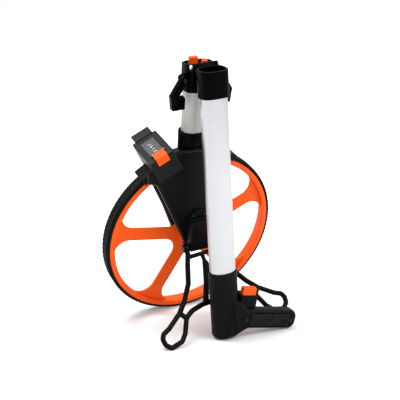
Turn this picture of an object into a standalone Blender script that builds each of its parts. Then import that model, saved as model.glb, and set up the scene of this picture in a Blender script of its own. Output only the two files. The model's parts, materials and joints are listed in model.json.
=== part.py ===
"""Folding measuring wheel: a forked road wheel with a counter, folded at its tube joint.

Every piece is modelled in one of a few frames. In the fork frame X runs across the fork, Z up
the lower tube and -Y out of the wheel's visible face, and its origin is the wheel's centre.
Lengths are metres and angles are degrees.
"""
import math

import bmesh
import bpy
from mathutils import Matrix, Vector

# General clearances and overruns
fit_gap = 0.0003
run_gap = 0.0005
cut_over = 0.002
round_steps = 60
ring_steps = 20
oval_steps = 24
arc_steps = 5
corner_step = 32.0
weld_distance = 0.000002

# How the object stands when it is folded up
wheel_lean = 15.774
fork_roll = 5.0
tube_fold = 13.3

# Wheel
wheel_diameter = 0.318
tyre_thickness = 0.006
tyre_width = 0.0245
tyre_shoulder = 0.004
rim_width = 0.026
rim_band = 0.009
rim_bed = 0.004
web_face = 0.0075
web_thickness = 0.004
rim_shell = 0.0029
lip_back = 0.0036
spoke_count = 5
spoke_width = 0.0242
spoke_angle = 167.3
window_outer_fillet = 0.024
window_inner_fillet = 0.022
hub_boss_radius = 0.020

# Axle and bearings
axle_radius = 0.005
axle_head_radius = 0.009
axle_head_height = 0.004
bearing_radius = 0.011
bearing_width = 0.007
spacer_radius = 0.0075
washer_radius = 0.011
washer_thickness = 0.0016
nut_width = 0.015
nut_height = 0.0075
axle_thread_end = 0.003

# Fork legs
fork_depth = 0.066
front_leg_thickness = 0.012
rear_leg_thickness = 0.016
front_leg_corners = [(-0.0205, -0.022), (0.0205, -0.022), (0.0225, 0.0), (0.042, 0.046),
                     (0.053, 0.112), (0.053, 0.150), (0.042, 0.177), (-0.058, 0.183),
                     (-0.079, 0.150), (-0.079, 0.129), (-0.0425, 0.048), (-0.0225, 0.0)]
rear_leg_corners = [(-0.0205, -0.022), (0.0205, -0.022), (0.0225, 0.0), (0.040, 0.046),
                    (0.048, 0.112), (0.048, 0.142), (0.022, 0.176), (0.000, 0.176),
                    (-0.012, 0.155), (-0.058, 0.158), (-0.074, 0.145), (-0.074, 0.125),
                    (-0.040, 0.048), (-0.0225, 0.0)]
leg_top = 0.184
leg_corner_round = 0.009
leg_edge_round = 0.004

# Crown and collar over the tyre
tyre_clearance = 0.0035
fender_thickness = 0.003
fender_wall = 0.0022
fender_skirt = 0.013
fender_start = 62.0
fender_end = 126.4
crown_top_corners = [(-0.060, 0.161), (-0.027, 0.173), (0.027, 0.173), (0.046, 0.166)]
crown_back = 0.002
crown_core_half = 0.019
collar_half_width = 0.027
collar_half_depth = 0.0195
collar_bottom = 0.172
collar_top = 0.205

# Tubes
tube_half_width = 0.022
tube_half_depth = 0.017
tube_wall = 0.0018
tube_forward = 0.003
lower_tube_foot = 0.178
lower_tube_drop = 0.0285

# Folding joint
hinge_height = 0.3275
hinge_forward = 0.0284
hinge_pin_radius = 0.002
knuckle_radius = 0.0046
knuckle_split = 0.0135
knuckle_half = 0.022
knuckle_root = 0.010
socket_half_width = 0.0238
socket_half_depth = 0.019
socket_length = 0.0495
upper_socket_length = 0.0455
lower_rim_slope = 12.0
upper_rim_slope = 5.0
socket_cavity_depth = 0.024
socket_wall = 0.0036
socket_rod_hole = 0.003
socket_floor = 0.004
pin_head_radius = 0.0032
pin_head_height = 0.0022

# Brake rod in the lower tube
rod_radius = 0.0025
rod_foot = 0.178
rod_travel = 0.003
pad_left = -0.0115
pad_right = 0.0025
small_pad_left = 0.0054
small_pad_right = 0.0145
pad_depth = 0.008
small_pad_depth = 0.007
pad_rise = 0.0028
small_pad_drop = 0.003
pad_base_height = 0.005
pad_base_drop = 0.014
pad_split = 0.0035
pad_round = 0.001
brake_shoe_half = 0.014
brake_shoe_depth = 0.014
brake_gap = 0.0036

# Latches on the joint's sides
latch_drop = 0.0225
latch_across = 0.0315
latch_forward = 0.021
latch_depth = 0.010
latch_corners = [(-0.005, 0.003), (-0.0225, -0.026), (-0.020, -0.050), (0.002, -0.0495),
                 (0.002, -0.0285), (-0.010, -0.0285), (0.0045, -0.004), (0.0045, 0.002)]
latch_round = 0.0018
latch_eye_radius = 0.0058
latch_pin_radius = 0.002
latch_boss_depth = 0.0055

# Counter
counter_centre_x = -0.0725
counter_centre_z = 0.183
counter_tilt = 25.5
counter_width = 0.046
counter_depth = 0.073
counter_height = 0.044
counter_wall = 0.003
counter_panel_thickness = 0.0027
counter_floor = 0.027
counter_edge_round = 0.002
drum_count = 5
drum_radius = 0.0105
drum_pitch = 0.0076
drum_drop = 0.0145
shaft_radius = 0.002
window_width = 0.025
window_front = 0.020
window_rear = 0.026
window_thickness = 0.0014
visor_width = 0.034
visor_depth = 0.019
visor_height = 0.0035
lever_width = 0.021
lever_length = 0.016
lever_thickness = 0.0036
lever_lip = 0.011
lever_lip_thickness = 0.0026
lever_pin_radius = 0.0012
lever_lug_width = 0.0025

# Belt drive from the wheel to the counter
belt_plane = 0.024
belt_width = 0.006
belt_thickness = 0.0018
pulley_radius = 0.0092
pulley_flange = 0.0016
pulley_flange_thickness = 0.001
pulley_sleeve_radius = 0.0105
belt_cover_thickness = 0.0015
belt_channel_half = 0.0135
belt_channel_depth = 0.0122

# Stand
bracket_width = 0.038
bracket_plate_thickness = 0.0045
bracket_plate_top = 0.066
bracket_depth = 0.0165
bracket_top = 0.049
bracket_bottom = -0.0105
bracket_round = 0.003
stand_pivot_height = -0.0034
stand_pivot_forward = 0.0412
stand_pin_radius = 0.003
stand_yaw = 4.0
stand_bar_radius = 0.0044
stand_eye_radius = 0.0075
stand_eye_width = 0.009
stand_eye_gap = 0.0015
stand_half_width = 0.1225
stand_tip = 49.331
stand_sole_depth = 0.0014

# Upper tube and grip
barrel_half_width = 0.0238
barrel_half_depth = 0.0187
barrel_length = 0.1226
barrel_end_round = 0.007
barrel_tube_depth = 0.034
handle_rake = 16.0
handle_rise = 0.0404
handle_forward = 0.013
handle_start = 0.014
handle_length = 0.131
handle_height = 0.034
handle_depth = 0.024
handle_edge_round = 0.006
handle_end_round = 0.012
handle_root_drop = 0.012
cover_start = 0.0225
panel_start = 0.037
panel_end_inset = 0.0185
panel_height = 0.0215
panel_thickness = 0.0016
panel_round = 0.004
grip_screw_radius = 0.0028
grip_screw_height = 0.0012
grip_screw_inset = 0.013
trigger_forward = 0.008
trigger_block_start = 0.0155
trigger_block_end = 0.0475
trigger_block_top = 0.0403
trigger_block_depth = 0.018
trigger_wall = 0.0026
trigger_top = 0.0533
trigger_foot = 0.0298
trigger_round = 0.002
push_rod_pad_drop = 0.008
push_rod_pad_height = 0.010

# Fasteners
leg_screw_radius = 0.0036
leg_screw_height = 0.0018
leg_screw_places = [(0.030, 0.140), (0.032, 0.075), (-0.060, 0.112)]
bracket_screw_radius = 0.0028
bracket_screw_height = 0.0014
bracket_screw_across = 0.011
bracket_screw_level = 0.057

colours = {
    "orange": ((0.90, 0.13, 0.02, 1.0), 0.42, 0.0),
    "black": ((0.018, 0.018, 0.020, 1.0), 0.45, 0.0),
    "dark_grey": ((0.045, 0.045, 0.050, 1.0), 0.5, 0.0),
    "rubber": ((0.012, 0.012, 0.012, 1.0), 0.8, 0.0),
    "aluminium": ((0.80, 0.80, 0.82, 1.0), 0.28, 1.0),
    "steel": ((0.55, 0.55, 0.56, 1.0), 0.3, 1.0),
    "glass": ((0.55, 0.58, 0.60, 1.0), 0.08, 0.0),
    "white": ((0.85, 0.85, 0.84, 1.0), 0.5, 0.0),
}

# Sizes worked out from the ones above
wheel_radius = wheel_diameter / 2
tyre_inner = wheel_radius - tyre_thickness
rim_radius = tyre_inner - fit_gap
rim_inner = rim_radius - rim_band
fender_inner = wheel_radius + tyre_clearance
fender_outer = fender_inner + fender_thickness
front_face = fork_depth / 2
front_leg_inner = front_face - front_leg_thickness
rear_leg_inner = front_face - rear_leg_thickness
crown_front = front_leg_inner - fit_gap
fender_half = rear_leg_inner - fit_gap
tube_bore = tube_half_width + fit_gap
tube_bore_depth = tube_half_depth + fit_gap
hinge_offset = hinge_forward - tube_forward


for stale in list(bpy.data.objects):
    bpy.data.objects.remove(stale)

collection = bpy.data.collections.new("measuring_wheel")
bpy.context.scene.collection.children.link(collection)


def make_material(name):
    colour, roughness, metallic = colours[name]
    material = bpy.data.materials.new(name)
    material.use_nodes = True
    shader = material.node_tree.nodes["Principled BSDF"]
    shader.inputs["Base Color"].default_value = colour
    shader.inputs["Roughness"].default_value = roughness
    shader.inputs["Metallic"].default_value = metallic
    return material


materials = {name: make_material(name) for name in colours}


def make_frame(name, parent, matrix):
    """An empty that carries the pieces of one frame."""
    empty = bpy.data.objects.new(name, None)
    collection.objects.link(empty)
    empty.parent = parent
    empty.matrix_local = matrix
    return empty


def turn(axis, degrees):
    return Matrix.Rotation(math.radians(degrees), 4, axis)


def shift(x=0.0, y=0.0, z=0.0):
    return Matrix.Translation((x, y, z))


def mesh_object(name, mesh):
    obj = bpy.data.objects.new(name, mesh)
    collection.objects.link(obj)
    return obj


def baked(obj, weld=True):
    """The object with its modifiers applied and its mesh facing out."""
    bpy.context.view_layer.update()
    graph = bpy.context.evaluated_depsgraph_get()
    mesh = bpy.data.meshes.new_from_object(obj.evaluated_get(graph))
    mesh.transform(obj.matrix_world)
    shape = bmesh.new()
    shape.from_mesh(mesh)
    if weld:
        bmesh.ops.remove_doubles(shape, verts=shape.verts, dist=weld_distance)
    bmesh.ops.recalc_face_normals(shape, faces=shape.faces)
    shape.to_mesh(mesh)
    shape.free()
    fresh = mesh_object(obj.name, mesh)
    bpy.data.objects.remove(obj)
    return fresh


def moved(obj, matrix):
    obj.data.transform(matrix)
    obj.data.update()
    return obj


def combine(base, operation, *others):
    """Join others to base, or cut them from it, and bake the result."""
    for other in others:
        step = base.modifiers.new(operation.lower(), "BOOLEAN")
        step.operation = operation
        step.object = other
        step.solver = "EXACT"
    result = baked(base, weld=False)
    for other in others:
        bpy.data.objects.remove(other)
    return result


def join(base, *others):
    return combine(base, "UNION", *others)


def cut(base, *others):
    return combine(base, "DIFFERENCE", *others)


def box(x_low, x_high, y_low, y_high, z_low, z_high, edge_round=0.0):
    shape = bmesh.new()
    bmesh.ops.create_cube(shape, size=1.0)
    size = Matrix.Diagonal((x_high - x_low, y_high - y_low, z_high - z_low, 1.0))
    centre = shift((x_low + x_high) / 2, (y_low + y_high) / 2, (z_low + z_high) / 2)
    bmesh.ops.transform(shape, matrix=centre @ size, verts=shape.verts)
    if edge_round:
        bmesh.ops.bevel(shape, geom=shape.edges, offset=edge_round, segments=2, profile=0.5,
                        affect="EDGES")
    mesh = bpy.data.meshes.new("box")
    shape.to_mesh(mesh)
    shape.free()
    return mesh_object("box", mesh)


def rod(radius, start, end, axis="Y", steps=ring_steps):
    """A round bar along one axis, from start to end."""
    shape = bmesh.new()
    bmesh.ops.create_cone(shape, cap_ends=True, segments=steps, radius1=radius, radius2=radius,
                          depth=end - start)
    aim = {"X": turn("Y", 90.0), "Y": turn("X", -90.0), "Z": Matrix.Identity(4)}[axis]
    middle = (start + end) / 2
    place = {"X": shift(x=middle), "Y": shift(y=middle), "Z": shift(z=middle)}[axis]
    bmesh.ops.transform(shape, matrix=place @ aim, verts=shape.verts)
    mesh = bpy.data.meshes.new("rod")
    shape.to_mesh(mesh)
    shape.free()
    return mesh_object("rod", mesh)


def turned(profile, steps=round_steps):
    """A ring about the Y axis from a closed profile of (radius, forward) points."""
    mesh = bpy.data.meshes.new("turned")
    points = [(radius, 0.0, forward) for radius, forward in profile]
    edges = [(i, (i + 1) % len(points)) for i in range(len(points))]
    mesh.from_pydata(points, edges, [])
    obj = mesh_object("turned", mesh)
    screw = obj.modifiers.new("screw", "SCREW")
    screw.steps = steps
    screw.render_steps = steps
    screw.use_merge_vertices = True
    screw.merge_threshold = weld_distance
    return moved(baked(obj), turn("X", 90.0))


def plate(outlines, y_low, y_high):
    """A flat sheet of (x, z) outlines, the first its edge and the others holes."""
    curve = bpy.data.curves.new("plate", "CURVE")
    curve.dimensions = "2D"
    curve.fill_mode = "BOTH"
    curve.extrude = (y_high - y_low) / 2
    for outline in outlines:
        spline = curve.splines.new("POLY")
        spline.points.add(len(outline) - 1)
        for point, (x, z) in zip(spline.points, outline):
            point.co = (x, z, 0.0, 1.0)
        spline.use_cyclic_u = True
    obj = bpy.data.objects.new("plate", curve)
    collection.objects.link(obj)
    return moved(baked(obj), shift(y=(y_low + y_high) / 2) @ turn("X", 90.0))


def slab(corners, corner_round, y_low, y_high, chamfer):
    """A sheet with rounded corners and a chamfer round both its faces."""
    full = rounded(corners, corner_round)
    inset = rounded(corners, corner_round, chamfer)
    shape = bmesh.new()
    rings = []
    for outline, y in ((inset, y_low), (full, y_low + chamfer), (full, y_high - chamfer),
                       (inset, y_high)):
        rings.append([shape.verts.new((x, y, z)) for x, z in outline])
    count = len(full)
    for near, far in zip(rings, rings[1:]):
        for i in range(count):
            after = (i + 1) % count
            shape.faces.new((near[i], near[after], far[after], far[i]))
    shape.faces.new(rings[0])
    shape.faces.new(rings[-1])
    bmesh.ops.triangulate(shape, faces=[face for face in shape.faces if len(face.verts) > 4])
    mesh = bpy.data.meshes.new("slab")
    shape.to_mesh(mesh)
    shape.free()
    return baked(mesh_object("slab", mesh))


def bar(points, radius, closed=False, sides=1):
    """A round bar that follows a list of (x, z) points."""
    curve = bpy.data.curves.new("bar", "CURVE")
    curve.dimensions = "3D"
    curve.bevel_depth = radius
    curve.bevel_resolution = sides
    curve.use_fill_caps = True
    spline = curve.splines.new("POLY")
    spline.points.add(len(points) - 1)
    for point, (x, z) in zip(spline.points, points):
        point.co = (x, 0.0, z, 1.0)
    spline.use_cyclic_u = closed
    obj = bpy.data.objects.new("bar", curve)
    collection.objects.link(obj)
    return baked(obj)


def arc(centre, radius, start, end, steps=arc_steps):
    """Points on an arc from start to end degrees, ends included."""
    points = []
    for i in range(steps + 1):
        angle = math.radians(start + (end - start) * i / steps)
        points.append((centre[0] + radius * math.cos(angle), centre[1] + radius * math.sin(angle)))
    return points


def oval(half_width, half_depth, power=2.3, steps=oval_steps):
    """A rounded outline between an ellipse and a rectangle."""
    points = []
    for i in range(steps):
        angle = 2 * math.pi * i / steps
        across = math.cos(angle)
        along = math.sin(angle)
        points.append((half_width * math.copysign(abs(across) ** (2 / power), across),
                       half_depth * math.copysign(abs(along) ** (2 / power), along)))
    return points


def oval_bar(half_width, half_depth, z_low, z_high, y_centre, power=2.3):
    """An upright bar of oval section."""
    bar_plate = plate([oval(half_width, half_depth, power)], z_low, z_high)
    return moved(bar_plate, shift(y=y_centre) @ turn("X", 90.0) @ Matrix.Diagonal((1, -1, 1, 1))
                 @ Matrix.Diagonal((1, -1, 1, 1)))


def rounded(points, radius, inset=0.0):
    """The closed outline with each corner an arc that touches both its sides, drawn inwards."""
    result = []
    count = len(points)
    area = sum(points[i - 1][0] * points[i][1] - points[i][0] * points[i - 1][1]
               for i in range(count))
    for i in range(count):
        corner = Vector(points[i])
        before = Vector(points[i - 1]) - corner
        after = Vector(points[(i + 1) % count]) - corner
        limit = min(before.length, after.length) * 0.45
        before.normalize()
        after.normalize()
        half_angle = before.angle(after) / 2
        reach = min(radius / math.tan(half_angle), limit)
        size = reach * math.tan(half_angle)
        bisector = (before + after).normalized()
        centre = corner + bisector * (size / math.sin(half_angle))
        first = corner + before * reach - centre
        last = corner + after * reach - centre
        inward = math.copysign(inset, after.cross(before) * area)
        scale = max(size - inward, fit_gap) / size
        sweep = first.angle_signed(last)
        steps = max(1, math.ceil(abs(math.degrees(sweep)) / corner_step))
        for step in range(steps + 1):
            spin = Matrix.Rotation(-sweep * step / steps, 2)
            result.append(tuple(centre + spin @ first * scale))
    return result


def finish(obj, name, frame, colour):
    """Name a piece, give it its material and hang it on its frame."""
    obj.name = name
    obj.data.name = name
    obj.data.materials.clear()
    obj.data.materials.append(materials[colour])
    obj.data.shade_smooth()
    obj.data.set_sharp_from_angle(angle=math.radians(35.0))
    obj.parent = frame
    return obj


# Frames
lean = math.radians(wheel_lean)
corner_radius = wheel_radius - tyre_shoulder
corner_side = tyre_width / 2 - tyre_shoulder
hub_height = corner_radius * math.cos(lean) + corner_side * math.sin(lean) + tyre_shoulder
fork_matrix = shift(z=hub_height) @ turn("X", wheel_lean) @ turn("Y", -fork_roll)
fork = make_frame("fork_frame", None, fork_matrix)
wheel = make_frame("wheel_axis", fork, Matrix.Identity(4))
upper_local = shift(y=-hinge_forward, z=hinge_height) @ turn("X", -tube_fold)
upper = make_frame("fold_axis", fork, upper_local)
upper_matrix = fork_matrix @ upper_local
counter_local = shift(x=counter_centre_x, z=counter_centre_z) @ turn("Y", -counter_tilt)
counter = make_frame("counter_frame", fork, counter_local)


def wheel_window():
    """One opening between two spokes, in the first sector from the X axis."""
    half = spoke_width / 2
    pitch = 360.0 / spoke_count
    bisector = math.radians(pitch / 2)
    inner_reach = (half + window_inner_fillet) / math.sin(bisector)
    inner_centre = (inner_reach * math.cos(bisector), inner_reach * math.sin(bisector))
    outer_reach = rim_inner - window_outer_fillet
    offset = math.degrees(math.asin((half + window_outer_fillet) / outer_reach))
    low = (outer_reach * math.cos(math.radians(offset)),
           outer_reach * math.sin(math.radians(offset)))
    high = (outer_reach * math.cos(math.radians(pitch - offset)),
            outer_reach * math.sin(math.radians(pitch - offset)))
    outline = arc(inner_centre, window_inner_fillet, pitch + 90.0, 270.0)
    outline += arc(low, window_outer_fillet, -90.0, offset)
    outline += arc((0.0, 0.0), rim_inner, offset, pitch - offset)[1:-1]
    outline += arc(high, window_outer_fillet, pitch - offset, pitch + 90.0)
    return outline


def make_wheel():
    half = rim_width / 2
    lip = rim_inner + rim_band / 2
    bed = rim_radius - rim_bed / 2
    shell = rim_radius - rim_shell
    rim = turned([(rim_radius, tyre_width / 2), (bed, half), (rim_inner, half),
                  (rim_inner, lip_back), (shell, lip_back - rim_shell), (shell, -half),
                  (bed, -half), (rim_radius, -tyre_width / 2)])
    window = wheel_window()
    windows = []
    for i in range(spoke_count):
        angle = math.radians(spoke_angle + 360.0 / spoke_count * i)
        spin = Matrix.Rotation(angle, 2)
        windows.append([tuple(spin @ Vector(point)) for point in window])
    web_edge = arc((0.0, 0.0), lip, 0.0, 360.0, round_steps)[:-1]
    web = plate([web_edge] + windows, -web_face, web_thickness - web_face)
    boss = rod(hub_boss_radius, -half, half)
    disc = join(rim, web, boss)
    disc = cut(disc, rod(bearing_radius, -half - cut_over, half + cut_over))
    finish(disc, "wheel_disc", wheel, "orange")

    shoulder = wheel_radius - tyre_shoulder
    side = tyre_width / 2
    outer = arc((shoulder, side - tyre_shoulder), tyre_shoulder, 0.0, 90.0, 2)
    inner = [(radius, -forward) for radius, forward in reversed(outer)]
    tyre = turned(outer + [(tyre_inner, side), (tyre_inner, -side)] + inner)
    finish(tyre, "tyre", wheel, "rubber")

    for name, sign in (("wheel_bearing_front", -1), ("wheel_bearing_rear", 1)):
        outer_side = half - fit_gap
        low = outer_side - bearing_width
        ring = turned([(bearing_radius - fit_gap, outer_side), (bearing_radius - fit_gap, low),
                       (axle_radius + fit_gap, low), (axle_radius + fit_gap, outer_side)],
                      ring_steps)
        if sign > 0:
            moved(ring, turn("Z", 180.0))
        finish(ring, name, wheel, "steel")

    belt_low = belt_plane - belt_width / 2
    belt_high = belt_plane + belt_width / 2
    groove = pulley_radius
    flange = pulley_radius + pulley_flange
    bore = spacer_radius + run_gap
    inner_flange = belt_low - run_gap - pulley_flange_thickness
    outer_flange = belt_high + run_gap + pulley_flange_thickness
    sleeve = half + fit_gap
    pulley = turned([(bore, -sleeve), (pulley_sleeve_radius, -sleeve),
                     (pulley_sleeve_radius, -inner_flange), (flange, -inner_flange),
                     (flange, -belt_low + run_gap), (groove, -belt_low + run_gap),
                     (groove, -belt_high - run_gap), (flange, -belt_high - run_gap),
                     (flange, -outer_flange), (bore, -outer_flange)], ring_steps)
    finish(pulley, "drive_pulley", wheel, "white")
    return outer_flange


def make_axle(pulley_end):
    end = front_face + washer_thickness + nut_height + fit_gap * 2 + axle_thread_end
    shaft = rod(axle_radius, -front_face + axle_head_height / 2, end)
    head = rod(axle_head_radius, -front_face, -front_face + axle_head_height)
    finish(join(head, shaft), "axle", fork, "steel")
    bearing_face = rim_width / 2 - fit_gap
    ring = turned([(spacer_radius, front_leg_inner - fit_gap),
                   (spacer_radius, bearing_face + fit_gap),
                   (axle_radius + fit_gap, bearing_face + fit_gap),
                   (axle_radius + fit_gap, front_leg_inner - fit_gap)], ring_steps)
    finish(ring, "axle_spacer_front", fork, "steel")
    channel_floor = rear_leg_inner + belt_channel_depth
    ring = turned([(spacer_radius, -bearing_face - fit_gap),
                   (spacer_radius, -channel_floor + fit_gap),
                   (axle_radius + fit_gap, -channel_floor + fit_gap),
                   (axle_radius + fit_gap, -bearing_face - fit_gap)], ring_steps)
    finish(ring, "axle_spacer_rear", fork, "steel")
    washer_low = front_face + fit_gap
    washer_high = washer_low + washer_thickness
    washer = turned([(washer_radius, -washer_low), (washer_radius, -washer_high),
                     (axle_radius + fit_gap, -washer_high), (axle_radius + fit_gap, -washer_low)],
                    ring_steps)
    finish(washer, "axle_washer", fork, "steel")
    nut = rod(nut_width / math.sqrt(3.0), washer_high + fit_gap, washer_high + fit_gap + nut_height,
              steps=6)
    hole = rod(axle_radius + fit_gap, 0.0, end + cut_over)
    finish(cut(nut, hole), "axle_nut", fork, "steel")


def counter_envelope(grow):
    """The counter box, grown by a clearance, in the fork frame."""
    half = counter_width / 2 + grow
    deep = counter_depth / 2 + grow
    body = box(-half, half, -deep, deep, -counter_height - grow, counter_height)
    return moved(body, counter_local)


def tyre_space(radius, half):
    return rod(radius, -half, half, steps=round_steps)


def collar_bar(grow, z_low, z_high):
    return oval_bar(collar_half_width + grow, collar_half_depth + grow, z_low, z_high,
                    -tube_forward)


def belt_channel(grow, y_low, y_high):
    """The space round the belt, from the axle to the counter's shaft."""
    top = counter_local @ Vector((0.0, 0.0, -drum_drop))
    aim = math.degrees(math.atan2(top.z, top.x))
    half = belt_channel_half + grow
    outline = arc((0.0, 0.0), half, aim + 90.0, aim + 270.0, arc_steps * 2)
    outline += arc((top.x, top.z), half, aim - 90.0, aim + 90.0, arc_steps * 2)
    return plate([outline], y_low, y_high)


def make_fork():
    front = slab(front_leg_corners, leg_corner_round, -front_face, -front_leg_inner,
                 leg_edge_round)
    front = cut(front, counter_envelope(fit_gap),
                collar_bar(fit_gap, collar_bottom - fit_gap, leg_top + cut_over),
                rod(axle_radius + fit_gap, -front_face - cut_over, 0.0),
                rod(axle_head_radius + fit_gap, -front_face - cut_over,
                    -front_face + axle_head_height + fit_gap))
    finish(front, "fork_front_leg", fork, "black")

    rear = slab(rear_leg_corners, leg_corner_round, rear_leg_inner, front_face, leg_edge_round)
    rear = cut(rear, counter_envelope(fit_gap),
               rod(axle_radius + fit_gap, 0.0, front_face + cut_over),
               belt_channel(0.0, rear_leg_inner - cut_over, rear_leg_inner + belt_channel_depth))
    finish(rear, "fork_rear_leg", fork, "black")

    inner = fender_outer + fit_gap
    low = math.degrees(math.acos(crown_top_corners[-1][0] / inner))
    high = math.degrees(math.acos(crown_top_corners[0][0] / inner))
    outline = arc((0.0, 0.0), inner, low, high, arc_steps * 2)
    crown = plate([outline + crown_top_corners], -crown_front, crown_back)
    core = box(-crown_core_half, crown_core_half, -crown_front + fit_gap,
               rear_leg_inner - fit_gap, wheel_radius, collar_bottom + cut_over)
    crown = join(crown, core, collar_bar(0.0, collar_bottom, collar_top))
    crown = cut(crown, counter_envelope(fit_gap), tyre_space(inner, fork_depth),
                oval_bar(tube_bore, tube_bore_depth, lower_tube_foot - fit_gap,
                         collar_top + cut_over, -tube_forward),
                box(-brake_shoe_half - run_gap, brake_shoe_half + run_gap,
                    -brake_shoe_depth / 2 - run_gap, brake_shoe_depth / 2 + run_gap,
                    wheel_radius, lower_tube_foot))
    finish(crown, "fork_crown", fork, "black")

    sweep = arc((0.0, 0.0), fender_outer, fender_start, fender_end, arc_steps * 3)
    skirt = arc((0.0, 0.0), fender_outer - fender_skirt, fender_end, fender_start, arc_steps * 3)
    fender = plate([sweep + skirt], -fender_half, fender_half)
    hollow = fender_half - fender_wall
    fender = cut(fender, rod(fender_inner, -hollow, hollow, steps=round_steps),
                 box(-brake_shoe_half - run_gap, brake_shoe_half + run_gap,
                     -brake_shoe_depth / 2 - run_gap, brake_shoe_depth / 2 + run_gap,
                     wheel_radius - fender_skirt / 2, fender_outer + cut_over))
    finish(fender, "fender", fork, "dark_grey")

    for i, (x, z) in enumerate(leg_screw_places):
        head = rod(leg_screw_radius, front_face + fit_gap, front_face + fit_gap + leg_screw_height,
                   steps=12)
        finish(moved(head, shift(x=x, z=z)), "leg_screw_%d" % (i + 1), fork, "steel")


def tube(z_low, z_high, y_centre):
    section = [oval(tube_half_width, tube_half_depth),
               oval(tube_half_width - tube_wall, tube_half_depth - tube_wall)]
    sleeve = plate(section, z_low, z_high)
    return moved(sleeve, shift(y=y_centre) @ turn("X", 90.0))


def make_socket(y_centre, length, slope):
    """A joint socket below its hinge axis, with a rim that slopes down away from the axis."""
    body = oval_bar(socket_half_width, socket_half_depth, -length, -fit_gap, y_centre, 2.9)
    cavity = oval_bar(socket_half_width - socket_wall, socket_half_depth - socket_wall,
                      -socket_cavity_depth, cut_over, y_centre, 2.9)
    bore = oval_bar(tube_bore, tube_bore_depth, -length - cut_over,
                    -socket_cavity_depth - socket_floor, y_centre)
    hole = moved(rod(socket_rod_hole, -length, cut_over, "Z", 16), shift(y=y_centre))
    side = math.copysign(socket_length, y_centre)
    near = y_centre - math.copysign(socket_half_depth, y_centre)
    low, high = sorted((0.0, side * 2))
    slice_off = box(-socket_length, socket_length, low, high, 0.0, socket_length)
    moved(slice_off, shift(y=near) @ turn("X", -math.copysign(slope, y_centre)))
    return cut(body, cavity, bore, hole, slice_off)


def knuckle(x_low, x_high, toward, direction):
    """A hinge knuckle on the X axis with a root that runs to the socket's wall."""
    barrel = rod(knuckle_radius, x_low, x_high, "X", 20)
    wall = socket_root_depth * toward
    low, high = sorted((0.0, wall))
    z_low, z_high = sorted((fit_gap * direction, knuckle_root * direction))
    root = box(x_low, x_high, low, high, z_low, z_high)
    return join(barrel, root)


socket_root_depth = hinge_offset - socket_half_depth + socket_wall / 2


def latch_boss(side):
    """The lug on the lower socket's side that carries a latch, in the hinge's own place."""
    y_low = hinge_forward - latch_forward + latch_depth / 2 + fit_gap
    y_high = y_low + latch_boss_depth
    z = -latch_drop
    eye = latch_across * side
    wall = (socket_half_width - socket_wall / 2) * side
    arm = box(min(eye, wall), max(eye, wall), y_low, y_high, z - latch_eye_radius,
              z + latch_eye_radius)
    tip = moved(rod(latch_eye_radius, y_low + fit_gap, y_high - fit_gap, steps=16),
                shift(x=eye, z=z))
    return join(arm, tip)


def latch_holes():
    """Holes for the latch pins, in the hinge's own place."""
    y_low = hinge_forward - latch_forward
    places = [shift(x=latch_across * side, z=-latch_drop) for side in (-1, 1)]
    return [moved(rod(latch_pin_radius + fit_gap, y_low, y_low + latch_depth * 2, steps=12), place)
            for place in places]


def make_joint():
    hole = rod(hinge_pin_radius + fit_gap, -socket_half_width - cut_over,
               socket_half_width + cut_over, "X", 16)
    lower = make_socket(hinge_offset, socket_length, lower_rim_slope)
    gap = fit_gap
    for low, high in ((-knuckle_half, -knuckle_split - gap), (knuckle_split + gap, knuckle_half)):
        lower = join(lower, knuckle(low, high, 1, -1))
    for side in (-1, 1):
        lower = join(lower, latch_boss(side))
    lower = cut(lower, hole, *latch_holes())
    moved(lower, shift(y=-hinge_forward, z=hinge_height))
    finish(lower, "lower_socket", fork, "black")

    hole = rod(hinge_pin_radius + fit_gap, -socket_half_width, socket_half_width, "X", 16)
    upper_part = make_socket(-hinge_offset, upper_socket_length, upper_rim_slope)
    upper_part = join(upper_part, knuckle(-knuckle_split, knuckle_split, -1, -1))
    upper_part = cut(upper_part, hole)
    finish(upper_part, "upper_socket", upper, "black")

    pin = rod(hinge_pin_radius, -knuckle_half - fit_gap, knuckle_half + fit_gap, "X", 16)
    for side in (-1, 1):
        near = (knuckle_half + fit_gap) * side
        far = near + pin_head_height * side
        pin = join(pin, rod(pin_head_radius, min(near, far), max(near, far), "X", 16))
    moved(pin, shift(y=-hinge_forward, z=hinge_height))
    finish(pin, "joint_pin", fork, "steel")


def make_lower_tube():
    finish(tube(lower_tube_foot, hinge_height - lower_tube_drop, -tube_forward), "lower_tube", fork, "aluminium")


def make_brake():
    shoe_top = lower_tube_foot - run_gap - rod_travel
    shoe_low = wheel_radius + brake_gap
    shoe = box(-brake_shoe_half, brake_shoe_half, -brake_shoe_depth / 2, brake_shoe_depth / 2,
               wheel_radius - fender_skirt, shoe_top)
    shoe = cut(shoe, tyre_space(shoe_low, brake_shoe_depth))
    finish(shoe, "brake_shoe", fork, "rubber")
    base_high = hinge_height - pad_base_drop
    base_low = base_high - pad_base_height
    shaft = rod(rod_radius, shoe_top + fit_gap, base_low - fit_gap, "Z", 16)
    moved(shaft, shift(y=-tube_forward))
    finish(shaft, "brake_rod", fork, "steel")
    rear_low = -tube_forward + pad_split / 2
    front_high = -tube_forward - pad_split / 2
    large_top = hinge_height + pad_rise
    small_top = large_top - small_pad_drop
    large = box(pad_left, pad_right, rear_low, rear_low + pad_depth, base_low, large_top,
                pad_round)
    small = box(small_pad_left, small_pad_right, front_high - small_pad_depth, front_high,
                base_low, small_top, pad_round)
    base = box(pad_left + pad_round, small_pad_right - pad_round, front_high - pad_depth / 2,
               rear_low + pad_depth / 2, base_low + fit_gap, base_high)
    finish(join(base, large, small), "brake_rod_head", fork, "orange")


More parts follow.
